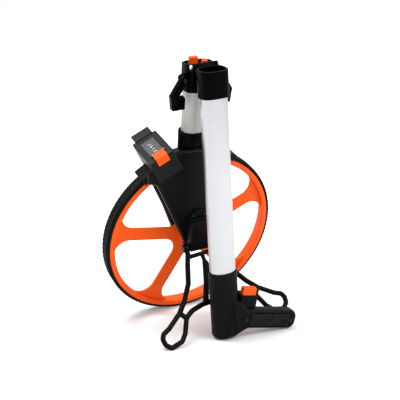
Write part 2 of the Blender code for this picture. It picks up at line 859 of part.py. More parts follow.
def make_latches():
    for name, side in (("left", -1), ("right", 1)):
        outline = rounded([(-x * side, z) for x, z in latch_corners], latch_round)
        low = -latch_forward - latch_depth / 2
        high = -latch_forward + latch_depth / 2
        arm = plate([outline], low, high)
        eye = rod(latch_eye_radius, low + fit_gap, high - fit_gap, steps=16)
        hole = rod(latch_pin_radius + fit_gap, low - cut_over, high + cut_over, steps=12)
        latch = cut(join(arm, eye), hole)
        place = shift(x=latch_across * side, z=hinge_height - latch_drop)
        axis = make_frame("latch_axis_" + name, fork, place)
        finish(latch, "latch_" + name, axis, "black")
        head_low = low - fit_gap - pin_head_height
        pin = join(rod(latch_pin_radius, low - fit_gap * 2, high + latch_boss_depth, steps=12),
                   rod(pin_head_radius, head_low, low - fit_gap, steps=12))
        finish(moved(pin, place), "latch_pin_" + name, fork, "steel")


def make_counter():
    half = counter_width / 2
    deep = counter_depth / 2
    top = -counter_panel_thickness - fit_gap
    shell = box(-half, half, -deep, deep, -counter_height, top, counter_edge_round)
    inner = box(-half + counter_wall, half - counter_wall, -deep + counter_wall,
                deep - counter_wall, -counter_floor, cut_over)
    shaft_hole = moved(rod(shaft_radius + fit_gap, -deep + counter_wall / 2,
                           deep - counter_wall / 2, steps=16), shift(z=-drum_drop))
    back = counter_local.inverted()
    space = moved(tyre_space(fender_outer + fit_gap, fender_half + fit_gap), back)
    belt_low = belt_plane - belt_width / 2 - pulley_flange_thickness - run_gap * 2
    belt_high = belt_plane + belt_width / 2 + pulley_flange_thickness + run_gap * 2
    channel = moved(belt_channel(-fit_gap, belt_low, belt_high), back)
    shell = cut(shell, inner, shaft_hole, space, channel)
    finish(shell, "counter_housing", counter, "dark_grey")

    panel = box(-half, half, -deep, deep, -counter_panel_thickness, 0.0)
    opening = box(-window_width / 2, window_width / 2, -window_front, window_rear,
                  -counter_panel_thickness - cut_over, cut_over)
    panel = cut(panel, opening)
    visor = box(-visor_width / 2, visor_width / 2, deep - counter_wall, deep + visor_depth,
                -counter_panel_thickness / 2, visor_height - counter_panel_thickness / 2,
                counter_edge_round / 2)
    lug_side = lever_width / 2 + fit_gap
    lug_z = lever_thickness / 2 + fit_gap
    lever_back = -deep + lever_length
    panel = join(panel, visor)
    for side in (-1, 1):
        near = lug_side * side
        far = near + lever_lug_width * side
        lug = box(min(near, far), max(near, far), lever_back - lever_thickness - fit_gap,
                  lever_back + fit_gap, -counter_panel_thickness / 2, lever_thickness + fit_gap)
        panel = join(panel, lug)
    pin_hole = moved(rod(lever_pin_radius + fit_gap, -half, half, "X", 12),
                     shift(y=lever_back - lever_thickness / 2, z=lug_z))
    panel = cut(panel, pin_hole)
    finish(panel, "counter_panel", counter, "dark_grey")

    pane = box(-window_width / 2 + fit_gap, window_width / 2 - fit_gap, -window_front + fit_gap,
               window_rear - fit_gap, -counter_panel_thickness / 2 - window_thickness / 2,
               -counter_panel_thickness / 2 + window_thickness / 2)
    finish(pane, "counter_window", counter, "glass")

    lever_axis = make_frame("lever_axis", counter,
                            shift(y=lever_back - lever_thickness / 2, z=lug_z))
    nose = -deep - lever_lip_thickness - fit_gap
    tongue = box(-lever_width / 2, lever_width / 2, nose, lever_back - lever_thickness / 2,
                 fit_gap, lever_thickness + fit_gap)
    roller = moved(rod(lever_thickness / 2, -lever_width / 2, lever_width / 2, "X", 16),
                   shift(y=lever_back - lever_thickness / 2, z=lug_z))
    lip = box(-lever_width / 2, lever_width / 2, nose, -deep - fit_gap, -lever_lip,
              lever_thickness / 2)
    pin_hole = moved(rod(lever_pin_radius + fit_gap, -half, half, "X", 12),
                     shift(y=lever_back - lever_thickness / 2, z=lug_z))
    lever = cut(join(tongue, roller, lip), pin_hole)
    moved(lever, shift(y=-lever_back + lever_thickness / 2, z=-lug_z))
    finish(lever, "reset_lever", lever_axis, "orange")
    lever_pin = rod(lever_pin_radius, -lug_side - lever_lug_width, lug_side + lever_lug_width,
                    "X", 12)
    finish(moved(lever_pin, shift(y=lever_back - lever_thickness / 2, z=lug_z)), "lever_pin",
           counter, "steel")

    shaft_frame = make_frame("counter_shaft_axis", counter, shift(z=-drum_drop))
    shaft_end = deep - counter_wall / 2 - fit_gap
    finish(rod(shaft_radius, -shaft_end, shaft_end, steps=16), "counter_shaft", shaft_frame,
           "steel")
    belt_near = belt_plane - belt_width / 2 - run_gap
    belt_far = belt_plane + belt_width / 2 + run_gap
    flange = pulley_radius + pulley_flange
    bore = shaft_radius + fit_gap
    ring = turned([(bore, -belt_near + pulley_flange_thickness),
                   (flange, -belt_near + pulley_flange_thickness), (flange, -belt_near),
                   (pulley_radius, -belt_near), (pulley_radius, -belt_far), (flange, -belt_far),
                   (flange, -belt_far - pulley_flange_thickness),
                   (bore, -belt_far - pulley_flange_thickness)], ring_steps)
    limit = counter_panel_thickness
    if flange > drum_drop - limit:
        raise ValueError("the counter pulley is too large for its housing")
    finish(ring, "counter_pulley", shaft_frame, "white")
    first = -drum_pitch * drum_count / 2
    for i in range(drum_count):
        drum_frame = make_frame("drum_axis_%d" % (i + 1), counter, shift(z=-drum_drop))
        low = first + drum_pitch * i + fit_gap
        high = first + drum_pitch * (i + 1) - fit_gap
        drum = turned([(drum_radius, -low), (drum_radius, -high), (bore, -high), (bore, -low)],
                      20)
        finish(drum, "digit_drum_%d" % (i + 1), drum_frame, "white")


def make_belt():
    top = counter_local @ Vector((0.0, 0.0, -drum_drop))
    aim = math.degrees(math.atan2(top.z, top.x))

    def loop(radius):
        outline = arc((0.0, 0.0), radius, aim + 90.0, aim + 270.0, arc_steps * 2)
        return outline + arc((top.x, top.z), radius, aim - 90.0, aim + 90.0, arc_steps * 2)
    inner = pulley_radius + fit_gap
    belt = plate([loop(inner + belt_thickness), loop(inner)], belt_plane - belt_width / 2,
                 belt_plane + belt_width / 2)
    finish(belt, "drive_belt", fork, "rubber")
    low = rear_leg_inner + fit_gap
    cover = belt_channel(-fit_gap, low, low + belt_cover_thickness)
    cover = cut(cover, rod(pulley_sleeve_radius + run_gap, 0.0, front_face),
                counter_envelope(fit_gap))
    finish(cover, "belt_cover", fork, "dark_grey")


def make_stand():
    half = bracket_width / 2
    low = -front_face - fit_gap - bracket_depth
    back = -front_face - fit_gap
    block = box(-half, half, low, back, bracket_bottom, bracket_top, bracket_round)
    dome = arc((0.0, bracket_plate_top - half), half, 0.0, 180.0, arc_steps * 2)
    base = plate([dome + [(-half, 0.0), (half, 0.0)]], back - bracket_plate_thickness, back)
    bracket = join(block, base)
    pivot = shift(y=-stand_pivot_forward, z=stand_pivot_height) @ turn("Z", stand_yaw)
    hole = moved(rod(stand_pin_radius + fit_gap, -bracket_width, bracket_width, "X", 16), pivot)
    finish(cut(bracket, hole), "stand_bracket", fork, "black")
    for name, side in (("left", -1), ("right", 1)):
        face = back - bracket_plate_thickness - fit_gap
        head = rod(bracket_screw_radius, face - bracket_screw_height, face, steps=12)
        place = shift(x=bracket_screw_across * side, z=bracket_screw_level)
        finish(moved(head, place), "bracket_screw_" + name, fork, "steel")

    eye_far = half + stand_eye_gap + stand_eye_width
    pin = rod(stand_pin_radius, -eye_far - fit_gap, eye_far + fit_gap, "X", 16)
    for side in (-1, 1):
        near = (eye_far + fit_gap) * side
        far = near + pin_head_height * side
        pin = join(pin, rod(stand_pin_radius * 1.7, min(near, far), max(near, far), "X", 16))
    finish(moved(pin, pivot), "stand_pin", fork, "steel")

    # The stand reaches from its pivot, at its angle, to where its left foot's sole meets the floor.
    pivot_matrix = fork_matrix @ pivot
    across_z = pivot_matrix[2][0]
    up_z = pivot_matrix[2][2]
    out_z = -pivot_matrix[2][1]
    start = pivot_matrix.translation
    foot_x = -stand_half_width * foot_tip_share
    sole = stand_bar_radius - stand_sole_depth
    lean = math.radians(stand_tip) - math.atan2(-out_z, up_z)
    drop = math.hypot(up_z, out_z) * math.cos(lean)
    stand_length = (start.z + across_z * foot_x - sole) / drop
    axis = make_frame("stand_axis", fork, pivot @ turn("X", -stand_tip))

    eye_x = half + stand_eye_gap + stand_eye_width / 2
    pieces = []
    for side in (-1, 1):
        outer = [(eye_x * side, 0.0), (eye_x * side, -stand_eye_radius - stand_bar_radius / 2)]
        for across, along in stand_strut_shares:
            outer.append((across * stand_half_width * side, -along * stand_length))
        thickness = stand_bar_radius * (1.0 + stand_side_share * side)
        pieces.append(bar(outer, thickness * stand_strut_share))
        loop = [(across * stand_half_width * side, -along * stand_length)
                for across, along in stand_foot_shares]
        pieces.append(bar(loop, stand_bar_radius, closed=True))
        inner = [(across * stand_half_width * side, -along * stand_length)
                 for across, along in stand_inner_shares]
        pieces.append(bar(inner, thickness * stand_inner_share))
        eye = rod(stand_eye_radius, -stand_eye_width / 2, stand_eye_width / 2, "X", 20)
        pieces.append(moved(eye, shift(x=eye_x * side)))
    stem = [(across * stand_half_width, -along * stand_length)
            for across, along in stand_stem_shares]
    pieces.append(bar(stem, stand_bar_radius * stand_stem_share))
    arch = [(across * stand_half_width, -along * stand_length)
            for across, along in stand_arch_shares]
    arch += [(-x, z) for x, z in reversed(arch[:-1])]
    pieces.append(bar(arch, stand_bar_radius * stand_arch_share))
    cross = [(stand_cross_shares[0] * stand_half_width, -stand_cross_shares[1] * stand_length),
             (-stand_cross_shares[0] * stand_half_width, -stand_cross_shares[1] * stand_length)]
    pieces.append(bar(cross, stand_bar_radius * stand_cross_share))
    frame = join(pieces[0], *pieces[1:])
    hole = rod(stand_pin_radius + fit_gap, -stand_half_width, stand_half_width, "X", 16)
    frame = cut(frame, hole)
    # Both feet have a flat sole, mirrored about the stand's middle.
    axis_matrix = pivot_matrix @ turn("X", -stand_tip)
    down = axis_matrix.inverted().to_3x3() @ Vector((0.0, 0.0, -1.0))
    floor_point = axis_matrix.inverted() @ Vector((0.0, 0.0, 0.0))
    for mirror in (1, -1):
        normal = Vector((down.x * mirror, down.y, down.z))
        point = Vector((floor_point.x * mirror, floor_point.y, floor_point.z))
        slab = box(-stand_length * 2, stand_length * 2, -stand_length * 2, stand_length * 2,
                   0.0, stand_length)
        aim = normal.to_track_quat("Z", "Y").to_matrix().to_4x4()
        moved(slab, Matrix.Translation(point) @ aim)
        frame = cut(frame, slab)
    finish(frame, "stand_frame", axis, "black")


# The stand's bars, in shares of its half width and its length. Each list runs from the top.
stand_strut_shares = [(0.275, 0.2), (0.36, 0.39), (0.505, 0.558), (0.64, 0.672)]
stand_foot_shares = [(0.64, 0.672), (0.86, 0.793), (0.965, 0.83), (1.0, 0.88), (0.99, 0.945),
                     (0.92, 1.0), (0.745, 0.97), (0.665, 0.9), (0.566, 0.745)]
stand_stem_shares = [(0.0, 0.108), (0.0, 0.235)]
stand_inner_shares = [(-0.008, 0.205), (0.084, 0.425), (0.215, 0.655)]
stand_arch_shares = [(0.566, 0.745), (0.45, 0.687), (0.27, 0.658), (0.0, 0.655)]
stand_cross_shares = (0.225, 0.108)
foot_tip_share = 0.92

# The bars' thicknesses, in shares of the foot's, so that no two of them have faces in one plane.
stand_strut_share = 0.97
stand_inner_share = 0.91
stand_arch_share = 0.94
stand_cross_share = 0.87
stand_stem_share = 0.84
stand_side_share = 0.012


def make_upper():
    centre = -hinge_offset
    tube_start = socket_cavity_depth + socket_floor + fit_gap

    # The barrel ends where its rounded lower edge meets the floor.
    start = upper_matrix @ Vector((0.0, centre, 0.0))
    across_z = upper_matrix[2][0] * (barrel_half_width - barrel_end_round)
    out_z = upper_matrix[2][1] * (barrel_half_depth - barrel_end_round)
    down_z = upper_matrix[2][2]
    tilt_drop = math.hypot(across_z, out_z) + barrel_end_round * (1.0 - down_z)
    barrel_end = (start.z - tilt_drop) / down_z
    barrel_top = barrel_end - barrel_length
    handle_level = barrel_end - handle_rise
    sleeve = tube(-barrel_top - barrel_tube_depth, -tube_start, centre)
    finish(sleeve, "upper_tube", upper, "aluminium")
    handle_local = shift(y=centre - handle_forward, z=-handle_level) @ turn("Y", handle_rake)
    handle_frame = make_frame("handle_frame", upper, handle_local)
    back = handle_local.inverted()

    barrel = oval_bar(barrel_half_width, barrel_half_depth, -barrel_end, -barrel_top, centre, 2.5)
    edge = barrel.modifiers.new("bevel", "BEVEL")
    edge.width = barrel_end_round
    edge.segments = 3
    edge.limit_method = "ANGLE"
    edge.angle_limit = math.radians(60.0)
    barrel = baked(barrel)
    lowest = min((upper_matrix @ vertex.co).z for vertex in barrel.data.vertices)
    for vertex in barrel.data.vertices:
        if vertex.co.z < -barrel_end / 2 - barrel_top / 2:
            vertex.co.z -= lowest / down_z
    moved(barrel, back)
    half = handle_height / 2
    outline = [(handle_length, half), (handle_length, -half), (handle_start, -half),
               (0.0, -half - handle_root_drop), (0.0, half)]
    deep = handle_depth / 2
    body = slab(outline, handle_end_round, -deep, deep, handle_edge_round)
    split = box(cover_start - fit_gap, handle_length + cut_over, -deep - cut_over, fit_gap / 2,
                -half - handle_root_drop, half + cut_over)
    rear = cut(body, split)
    grip = join(barrel, rear)
    bore = moved(oval_bar(tube_bore, tube_bore_depth, -barrel_top - barrel_tube_depth - fit_gap,
                          -barrel_top + cut_over, centre), back)
    hollow = moved(oval_bar(tube_half_width - tube_wall, tube_half_depth - tube_wall,
                            -barrel_end + barrel_end_round, -barrel_top, centre), back)
    rear_pocket = plate([panel_outline(fit_gap)], deep - panel_thickness / 2, deep + cut_over)
    grip = cut(grip, bore, hollow, rear_pocket)
    finish(grip, "grip_body", handle_frame, "dark_grey")

    cover = slab(outline, handle_end_round, -deep, deep, handle_edge_round)
    keep_out = box(-handle_length, cover_start, -deep * 2, deep * 2, -handle_length, handle_length)
    rear_half = box(-handle_length, handle_length * 2, -fit_gap / 2, deep * 2, -handle_length,
                    handle_length)
    barrel_space = oval_bar(barrel_half_width + fit_gap, barrel_half_depth + fit_gap,
                            -barrel_end - cut_over, -barrel_top + cut_over, centre, 2.5)
    trigger_space = barrel_space.copy()
    trigger_space.data = barrel_space.data.copy()
    collection.objects.link(trigger_space)
    cover = cut(cover, keep_out, rear_half, moved(barrel_space, back))
    pocket = panel_outline(fit_gap)
    cover = cut(cover, plate([pocket], -deep - cut_over, -deep + panel_thickness / 2))
    finish(cover, "grip_cover", handle_frame, "dark_grey")
    for name, side in (("grip_panel_front", -1), ("grip_panel_rear", 1)):
        outer = (deep + panel_thickness / 2) * side
        seat = (deep - panel_thickness / 2 + fit_gap) * side
        panel = plate([panel_outline(0.0)], min(outer, seat), max(outer, seat))
        finish(panel, name, handle_frame, "rubber")

    for name, x in (("inner", cover_start + grip_screw_radius * 2),
                    ("outer", handle_length - grip_screw_inset)):
        head = rod(grip_screw_radius, -deep - fit_gap - grip_screw_height, -deep - fit_gap,
                   steps=16)
        finish(moved(head, shift(x=x)), "grip_screw_" + name, handle_frame, "steel")
    make_trigger(handle_frame, half, moved(trigger_space, back))

    pad_high = -push_rod_pad_drop
    pad_low = pad_high - push_rod_pad_height
    pad = box(pad_left, -pad_left, centre - pad_depth, centre + pad_depth, pad_low, pad_high,
              pad_round)
    rod_axis = make_frame("push_rod_axis", upper, Matrix.Identity(4))
    finish(pad, "push_rod_pad", rod_axis, "black")
    shaft = moved(rod(rod_radius, -handle_level + handle_height / 2, pad_low - fit_gap, "Z", 16),
                  shift(y=centre))
    finish(shaft, "push_rod", rod_axis, "steel")


def panel_outline(grow):
    low = panel_start - grow
    high = handle_length - panel_end_inset + grow
    half = panel_height / 2 + grow
    return rounded([(low, half), (high, half), (high, -half), (low, -half)], panel_round)


def make_trigger(handle_frame, half, barrel_space):
    deep = trigger_block_depth / 2
    place = shift(y=handle_forward - trigger_forward)
    moved(barrel_space, place.inverted())
    trigger_place = make_frame("trigger_place", handle_frame, place)
    block = box(trigger_block_start, trigger_block_end, -deep, deep, half + fit_gap,
                trigger_block_top, trigger_round)
    slot_low = trigger_foot - trigger_wall * 2.5
    slot = box(trigger_block_start + trigger_wall, trigger_block_end - trigger_wall,
               -deep + trigger_wall, deep - trigger_wall, slot_low,
               trigger_block_top + cut_over)
    finish(cut(block, slot, barrel_space), "trigger_housing", trigger_place, "black")
    side = trigger_wall + run_gap
    trigger = box(trigger_block_start + side, trigger_block_end - side, -deep + side, deep - side,
                  trigger_foot, trigger_top, trigger_round)
    axis = make_frame("trigger_axis", trigger_place, Matrix.Identity(4))
    finish(trigger, "trigger", axis, "orange")


pulley_end = make_wheel()
make_axle(pulley_end)
make_fork()
make_joint()
make_lower_tube()
make_brake()
make_latches()
make_counter()
make_belt()
make_stand()
make_upper()

# The origin is on the floor under the middle of the object.
bpy.context.view_layer.update()
corners = [obj.matrix_world @ vertex.co for obj in collection.objects if obj.type == "MESH"
           for vertex in obj.data.vertices]
middle_x = (min(corner.x for corner in corners) + max(corner.x for corner in corners)) / 2
middle_y = (min(corner.y for corner in corners) + max(corner.y for corner in corners)) / 2
floor_z = min(corner.z for corner in corners)
fork.matrix_local = shift(-middle_x, -middle_y, -floor_z) @ fork_matrix
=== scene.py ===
import json
import math
import bmesh
import bpy
from mathutils import Matrix, Vector


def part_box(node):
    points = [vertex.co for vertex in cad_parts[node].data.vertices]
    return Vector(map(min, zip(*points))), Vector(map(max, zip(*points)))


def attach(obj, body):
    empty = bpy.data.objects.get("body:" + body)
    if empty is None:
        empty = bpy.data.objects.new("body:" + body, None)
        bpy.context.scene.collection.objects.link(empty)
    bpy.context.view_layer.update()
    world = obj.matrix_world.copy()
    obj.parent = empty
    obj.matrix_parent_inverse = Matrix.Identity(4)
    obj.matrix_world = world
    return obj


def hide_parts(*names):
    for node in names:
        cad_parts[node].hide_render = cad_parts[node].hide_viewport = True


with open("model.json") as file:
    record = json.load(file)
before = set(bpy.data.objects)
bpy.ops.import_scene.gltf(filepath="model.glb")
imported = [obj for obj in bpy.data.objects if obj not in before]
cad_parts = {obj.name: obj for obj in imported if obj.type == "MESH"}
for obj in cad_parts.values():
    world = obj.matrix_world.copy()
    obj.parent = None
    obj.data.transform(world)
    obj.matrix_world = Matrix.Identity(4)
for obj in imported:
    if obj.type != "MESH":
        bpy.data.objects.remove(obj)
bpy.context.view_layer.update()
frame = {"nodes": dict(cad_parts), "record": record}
print("frame loaded:", len(frame["nodes"]), "nodes")

# Shared values: metres and degrees
common = {"weld": 0.000002, "gap": 0.0003, "over": 0.01, "cornerStep": 9.0, "smoothAngle": 38.0,
          "smoothFactor": 0.5, "cornerShare": 0.45}


def turn(axis, degrees):
    return Matrix.Rotation(math.radians(degrees), 4, axis)


def shift(x=0.0, y=0.0, z=0.0):
    return Matrix.Translation((x, y, z))


# How the wheel stands in the photograph: it leans back, and rolls a little to one side
stance = {"lean": 15.774, "roll": 5.0, "fold": 13.3, "hingeForward": 0.0284,
          "hingeHeight": 0.3275, "tubeForward": 0.003, "handleForward": 0.013,
          "handleLevel": 0.4207, "handleRake": 16.0, "counterAcross": -0.0725,
          "counterUp": 0.183, "counterTilt": 25.5, "standForward": 0.0412,
          "standDrop": 0.0034, "standYaw": 4.0, "standTip": 49.331}

tyreLow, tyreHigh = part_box("tyre")
wheelCentre = (tyreLow + tyreHigh) / 2
forkPlace = Matrix.Translation(wheelCentre) @ turn("X", stance["lean"]) @ turn("Y", -stance["roll"])
hingePlace = forkPlace @ shift(y=-stance["hingeForward"], z=stance["hingeHeight"])
upperPlace = hingePlace @ turn("X", -stance["fold"])
tubeBack = stance["tubeForward"] - stance["hingeForward"]
handlePlace = (upperPlace @ shift(y=tubeBack - stance["handleForward"], z=-stance["handleLevel"])
               @ turn("Y", stance["handleRake"]))
counterPlace = (forkPlace @ shift(x=stance["counterAcross"], z=stance["counterUp"])
                @ turn("Y", -stance["counterTilt"]))
standPlace = (forkPlace @ shift(y=-stance["standForward"], z=-stance["standDrop"])
              @ turn("Z", stance["standYaw"]) @ turn("X", -stance["standTip"]))


# Small tools for making pieces
def linked(name, data):
    obj = bpy.data.objects.new(name, data)
    bpy.context.scene.collection.objects.link(obj)
    return obj


def fromShape(shape, name):
    mesh = bpy.data.meshes.new(name)
    shape.to_mesh(mesh)
    shape.free()
    return linked(name, mesh)


def baked(obj, weld=False):  # a plain mesh of what the modifiers give
    bpy.context.view_layer.update()
    graph = bpy.context.evaluated_depsgraph_get()
    mesh = bpy.data.meshes.new_from_object(obj.evaluated_get(graph))
    mesh.transform(obj.matrix_world)
    if weld:
        shape = bmesh.new()
        shape.from_mesh(mesh)
        bmesh.ops.remove_doubles(shape, verts=shape.verts, dist=common["weld"])
        bmesh.ops.recalc_face_normals(shape, faces=shape.faces)
        shape.to_mesh(mesh)
        shape.free()
    fresh = linked(obj.name, mesh)
    bpy.data.objects.remove(obj)
    return fresh


def settled(obj, place):
    obj.data.transform(place)
    obj.data.update()
    return obj


def combined(base, operation, *others):
    for other in others:
        step = base.modifiers.new("step", "BOOLEAN")
        step.operation = operation
        step.object = other
        step.solver = "EXACT"
    result = baked(base)
    for other in others:
        bpy.data.objects.remove(other)
    return result


def softened(obj, voxel, passes):  # edges and inner corners worn round, as a mould leaves them
    remesh = obj.modifiers.new("remesh", "REMESH")
    remesh.mode = "VOXEL"
    remesh.voxel_size = voxel
    smooth = obj.modifiers.new("smooth", "SMOOTH")
    smooth.factor = common["smoothFactor"]
    smooth.iterations = passes
    return baked(obj)


def copyOf(node):
    shape = bmesh.new()
    shape.from_mesh(frame["nodes"][node].data)
    bmesh.ops.remove_doubles(shape, verts=shape.verts, dist=common["weld"])
    return fromShape(shape, node + "Copy")


def dressed(obj, name, body, slot, *nodes, angle=None):
    obj.name = name
    obj.data.name = name
    obj.data.materials.clear()
    obj.data.materials.append(finishes[slot])
    obj.data.shade_smooth()
    obj.data.set_sharp_from_angle(angle=math.radians(angle or common["smoothAngle"]))
    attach(obj, body)
    if nodes:
        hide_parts(*nodes)
    return obj


def arcPoints(centre, radius, start, end, steps):
    angles = [math.radians(start + (end - start) * i / steps) for i in range(steps + 1)]
    return [(centre[0] + radius * math.cos(a), centre[1] + radius * math.sin(a)) for a in angles]


def roundedPath(points, radius, closed=True, inset=0.0, step=None):  # corners become arcs
    result = []
    count = len(points)
    area = sum(points[i - 1][0] * points[i][1] - points[i][0] * points[i - 1][1]
               for i in range(count))
    for i in range(count):
        corner = Vector(points[i])
        if not closed and i in (0, count - 1):
            result.append(tuple(corner))
            continue
        before = Vector(points[i - 1]) - corner
        after = Vector(points[(i + 1) % count]) - corner
        limit = min(before.length, after.length) * common["cornerShare"]
        before.normalize()
        after.normalize()
        halfAngle = before.angle(after) / 2
        reach = min(radius / math.tan(halfAngle), limit)
        size = reach * math.tan(halfAngle)
        centre = corner + (before + after).normalized() * (size / math.sin(halfAngle))
        first = corner + before * reach - centre
        last = corner + after * reach - centre
        inward = math.copysign(inset, after.cross(before) * area)
        scale = max(size - inward, common["gap"]) / size
        sweep = first.angle_signed(last)
        steps = max(2, math.ceil(abs(math.degrees(sweep)) / (step or common["cornerStep"])))
        for k in range(steps + 1):
            result.append(tuple(centre + Matrix.Rotation(-sweep * k / steps, 2) @ first * scale))
    return result


def ringsToPiece(rings, name, capped=True):  # skin over rings of equal point counts
    shape = bmesh.new()
    rows = [[shape.verts.new(point) for point in ring] for ring in rings]
    pairs = list(zip(rows, rows[1:]))
    if not capped:
        pairs.append((rows[-1], rows[0]))
    count = len(rows[0])
    for near, far in pairs:
        for i in range(count):
            j = (i + 1) % count
            shape.faces.new((near[i], near[j], far[j], far[i]))
    if capped:
        shape.faces.new(rows[0])
        shape.faces.new(rows[-1])
    bmesh.ops.recalc_face_normals(shape, faces=shape.faces)
    return fromShape(shape, name)


def slab(corners, cornerRound, yLow, yHigh, edgeRound, steps=5):  # a moulded plate with soft edges
    rings = []
    for k in range(steps + 1):
        a = math.radians(90.0 * k / steps)
        outline = roundedPath(corners, cornerRound, inset=edgeRound * (1 - math.sin(a)))
        y = yLow + edgeRound * (1 - math.cos(a))
        rings.append([(x, y, z) for x, z in outline])
    mirror = [[(x, yLow + yHigh - y, z) for x, y, z in ring] for ring in reversed(rings)]
    return ringsToPiece(rings + mirror, "slab")


def lathe(profile, steps):  # a closed profile of (radius, forward) turned round the axle
    rings = []
    for i in range(steps):
        a = 2 * math.pi * i / steps
        rings.append([(r * math.cos(a), -f, r * math.sin(a)) for r, f in profile])
    return ringsToPiece(rings, "ring", capped=False)


def rod(radius, start, end, axis="Y", steps=48, edgeRound=0.0):
    levels = [(0.0, start), (0.0, end)]
    if edgeRound:
        arc = [math.radians(90.0 * k / 4) for k in range(5)]
        levels = [(edgeRound * (1 - math.sin(a)), start + edgeRound * (1 - math.cos(a))) for a in arc]
        levels += [(inset, start + end - y) for inset, y in reversed(levels)]
    rings = [[((radius - inset) * math.cos(2 * math.pi * i / steps), y,
               (radius - inset) * math.sin(2 * math.pi * i / steps)) for i in range(steps)]
             for inset, y in levels]
    aim = {"X": turn("Z", -90.0), "Y": Matrix.Identity(4), "Z": turn("X", 90.0)}[axis]
    return settled(ringsToPiece(rings, "rod"), aim)


def box(xLow, xHigh, yLow, yHigh, zLow, zHigh, edgeRound=0.0, segments=4):
    shape = bmesh.new()
    bmesh.ops.create_cube(shape, size=1.0)
    size = Matrix.Diagonal((xHigh - xLow, yHigh - yLow, zHigh - zLow, 1.0))
    centre = shift((xLow + xHigh) / 2, (yLow + yHigh) / 2, (zLow + zHigh) / 2)
    bmesh.ops.transform(shape, matrix=centre @ size, verts=shape.verts)
    if edgeRound:
        bmesh.ops.bevel(shape, geom=shape.edges, offset=edgeRound, segments=segments,
                        profile=0.5, affect="EDGES")
    return fromShape(shape, "box")


def oval(halfWidth, halfDepth, power=2.3, steps=112):
    points = []
    for i in range(steps):
        a = 2 * math.pi * i / steps
        points.append((halfWidth * math.copysign(abs(math.cos(a)) ** (2 / power), math.cos(a)),
                       halfDepth * math.copysign(abs(math.sin(a)) ** (2 / power), math.sin(a))))
    return points


def ovalBar(halfWidth, halfDepth, levels, yCentre, power=2.3):  # levels are (height, inset)
    rings = [[(x, yCentre + y, z) for x, y in oval(halfWidth - inset, halfDepth - inset, power)]
             for z, inset in levels]
    return ringsToPiece(rings, "oval")


def sheetPiece(outlines, yLow, yHigh, edgeRound, steps=3):  # a flat moulding with holes and soft edges
    curve = bpy.data.curves.new("sheet", "CURVE")
    curve.dimensions = "2D"
    curve.fill_mode = "BOTH"
    curve.extrude = (yHigh - yLow) / 2 - edgeRound
    curve.bevel_depth = edgeRound
    curve.bevel_resolution = steps
    curve.offset = -edgeRound
    for outline in outlines:
        spline = curve.splines.new("POLY")
        spline.points.add(len(outline) - 1)
        for point, (x, z) in zip(spline.points, outline):
            point.co = (x, z, 0.0, 1.0)
        spline.use_cyclic_u = True
    obj = bpy.data.objects.new("sheet", curve)
    bpy.context.scene.collection.objects.link(obj)
    return settled(baked(obj, weld=True), shift(y=(yLow + yHigh) / 2) @ turn("X", 90.0))


def wire(points, radius, closed=False, sides=4):  # a round bar along (x, z) points
    curve = bpy.data.curves.new("wire", "CURVE")
    curve.dimensions = "3D"
    curve.bevel_depth = radius
    curve.bevel_resolution = sides
    curve.use_fill_caps = True
    spline = curve.splines.new("POLY")
    spline.points.add(len(points) - 1)
    for point, (x, z) in zip(spline.points, points):
        point.co = (x, 0.0, z, 1.0)
    spline.use_cyclic_u = closed
    obj = bpy.data.objects.new("wire", curve)
    bpy.context.scene.collection.objects.link(obj)
    return baked(obj, weld=True)


# Shader groups that several finishes share
def shaderGroup(name, inputs, outputs):
    tree = bpy.data.node_groups.new(name, "ShaderNodeTree")
    for label, kind, value in inputs:
        socket = tree.interface.new_socket(name=label, in_out="INPUT", socket_type=kind)
        socket.default_value = value
    for label, kind in outputs:
        tree.interface.new_socket(name=label, in_out="OUTPUT", socket_type=kind)
    return tree


def addNode(tree, kind, values=None, links=None, **settings):
    node = tree.nodes.new(kind)
    for key, value in settings.items():
        setattr(node, key, value)
    for key, value in (values or {}).items():
        node.inputs[key].default_value = value
    for key, source in (links or {}).items():
        tree.links.new(source, node.inputs[key])
    return node


def mapped(tree, value, low, high, toLow, toHigh):
    return addNode(tree, "ShaderNodeMapRange",
                   {"From Min": low, "From Max": high, "To Min": toLow, "To Max": toHigh},
                   {"Value": value}).outputs["Result"]


number, colourKind, vectorKind = "NodeSocketFloat", "NodeSocketColor", "NodeSocketVector"
grainGroup = shaderGroup(
    "mouldGrain",
    [("Fine Scale", number, 1400.0), ("Fine Depth", number, 0.00003), ("Broad Scale", number, 45.0),
     ("Broad Depth", number, 0.0001), ("Roughness", number, 0.4), ("Spread", number, 0.15),
     ("Colour", colourKind, (0.5, 0.5, 0.5, 1.0)), ("Colour Spread", number, 0.12)],
    [("Colour", colourKind), ("Roughness", number), ("Normal", vectorKind)])


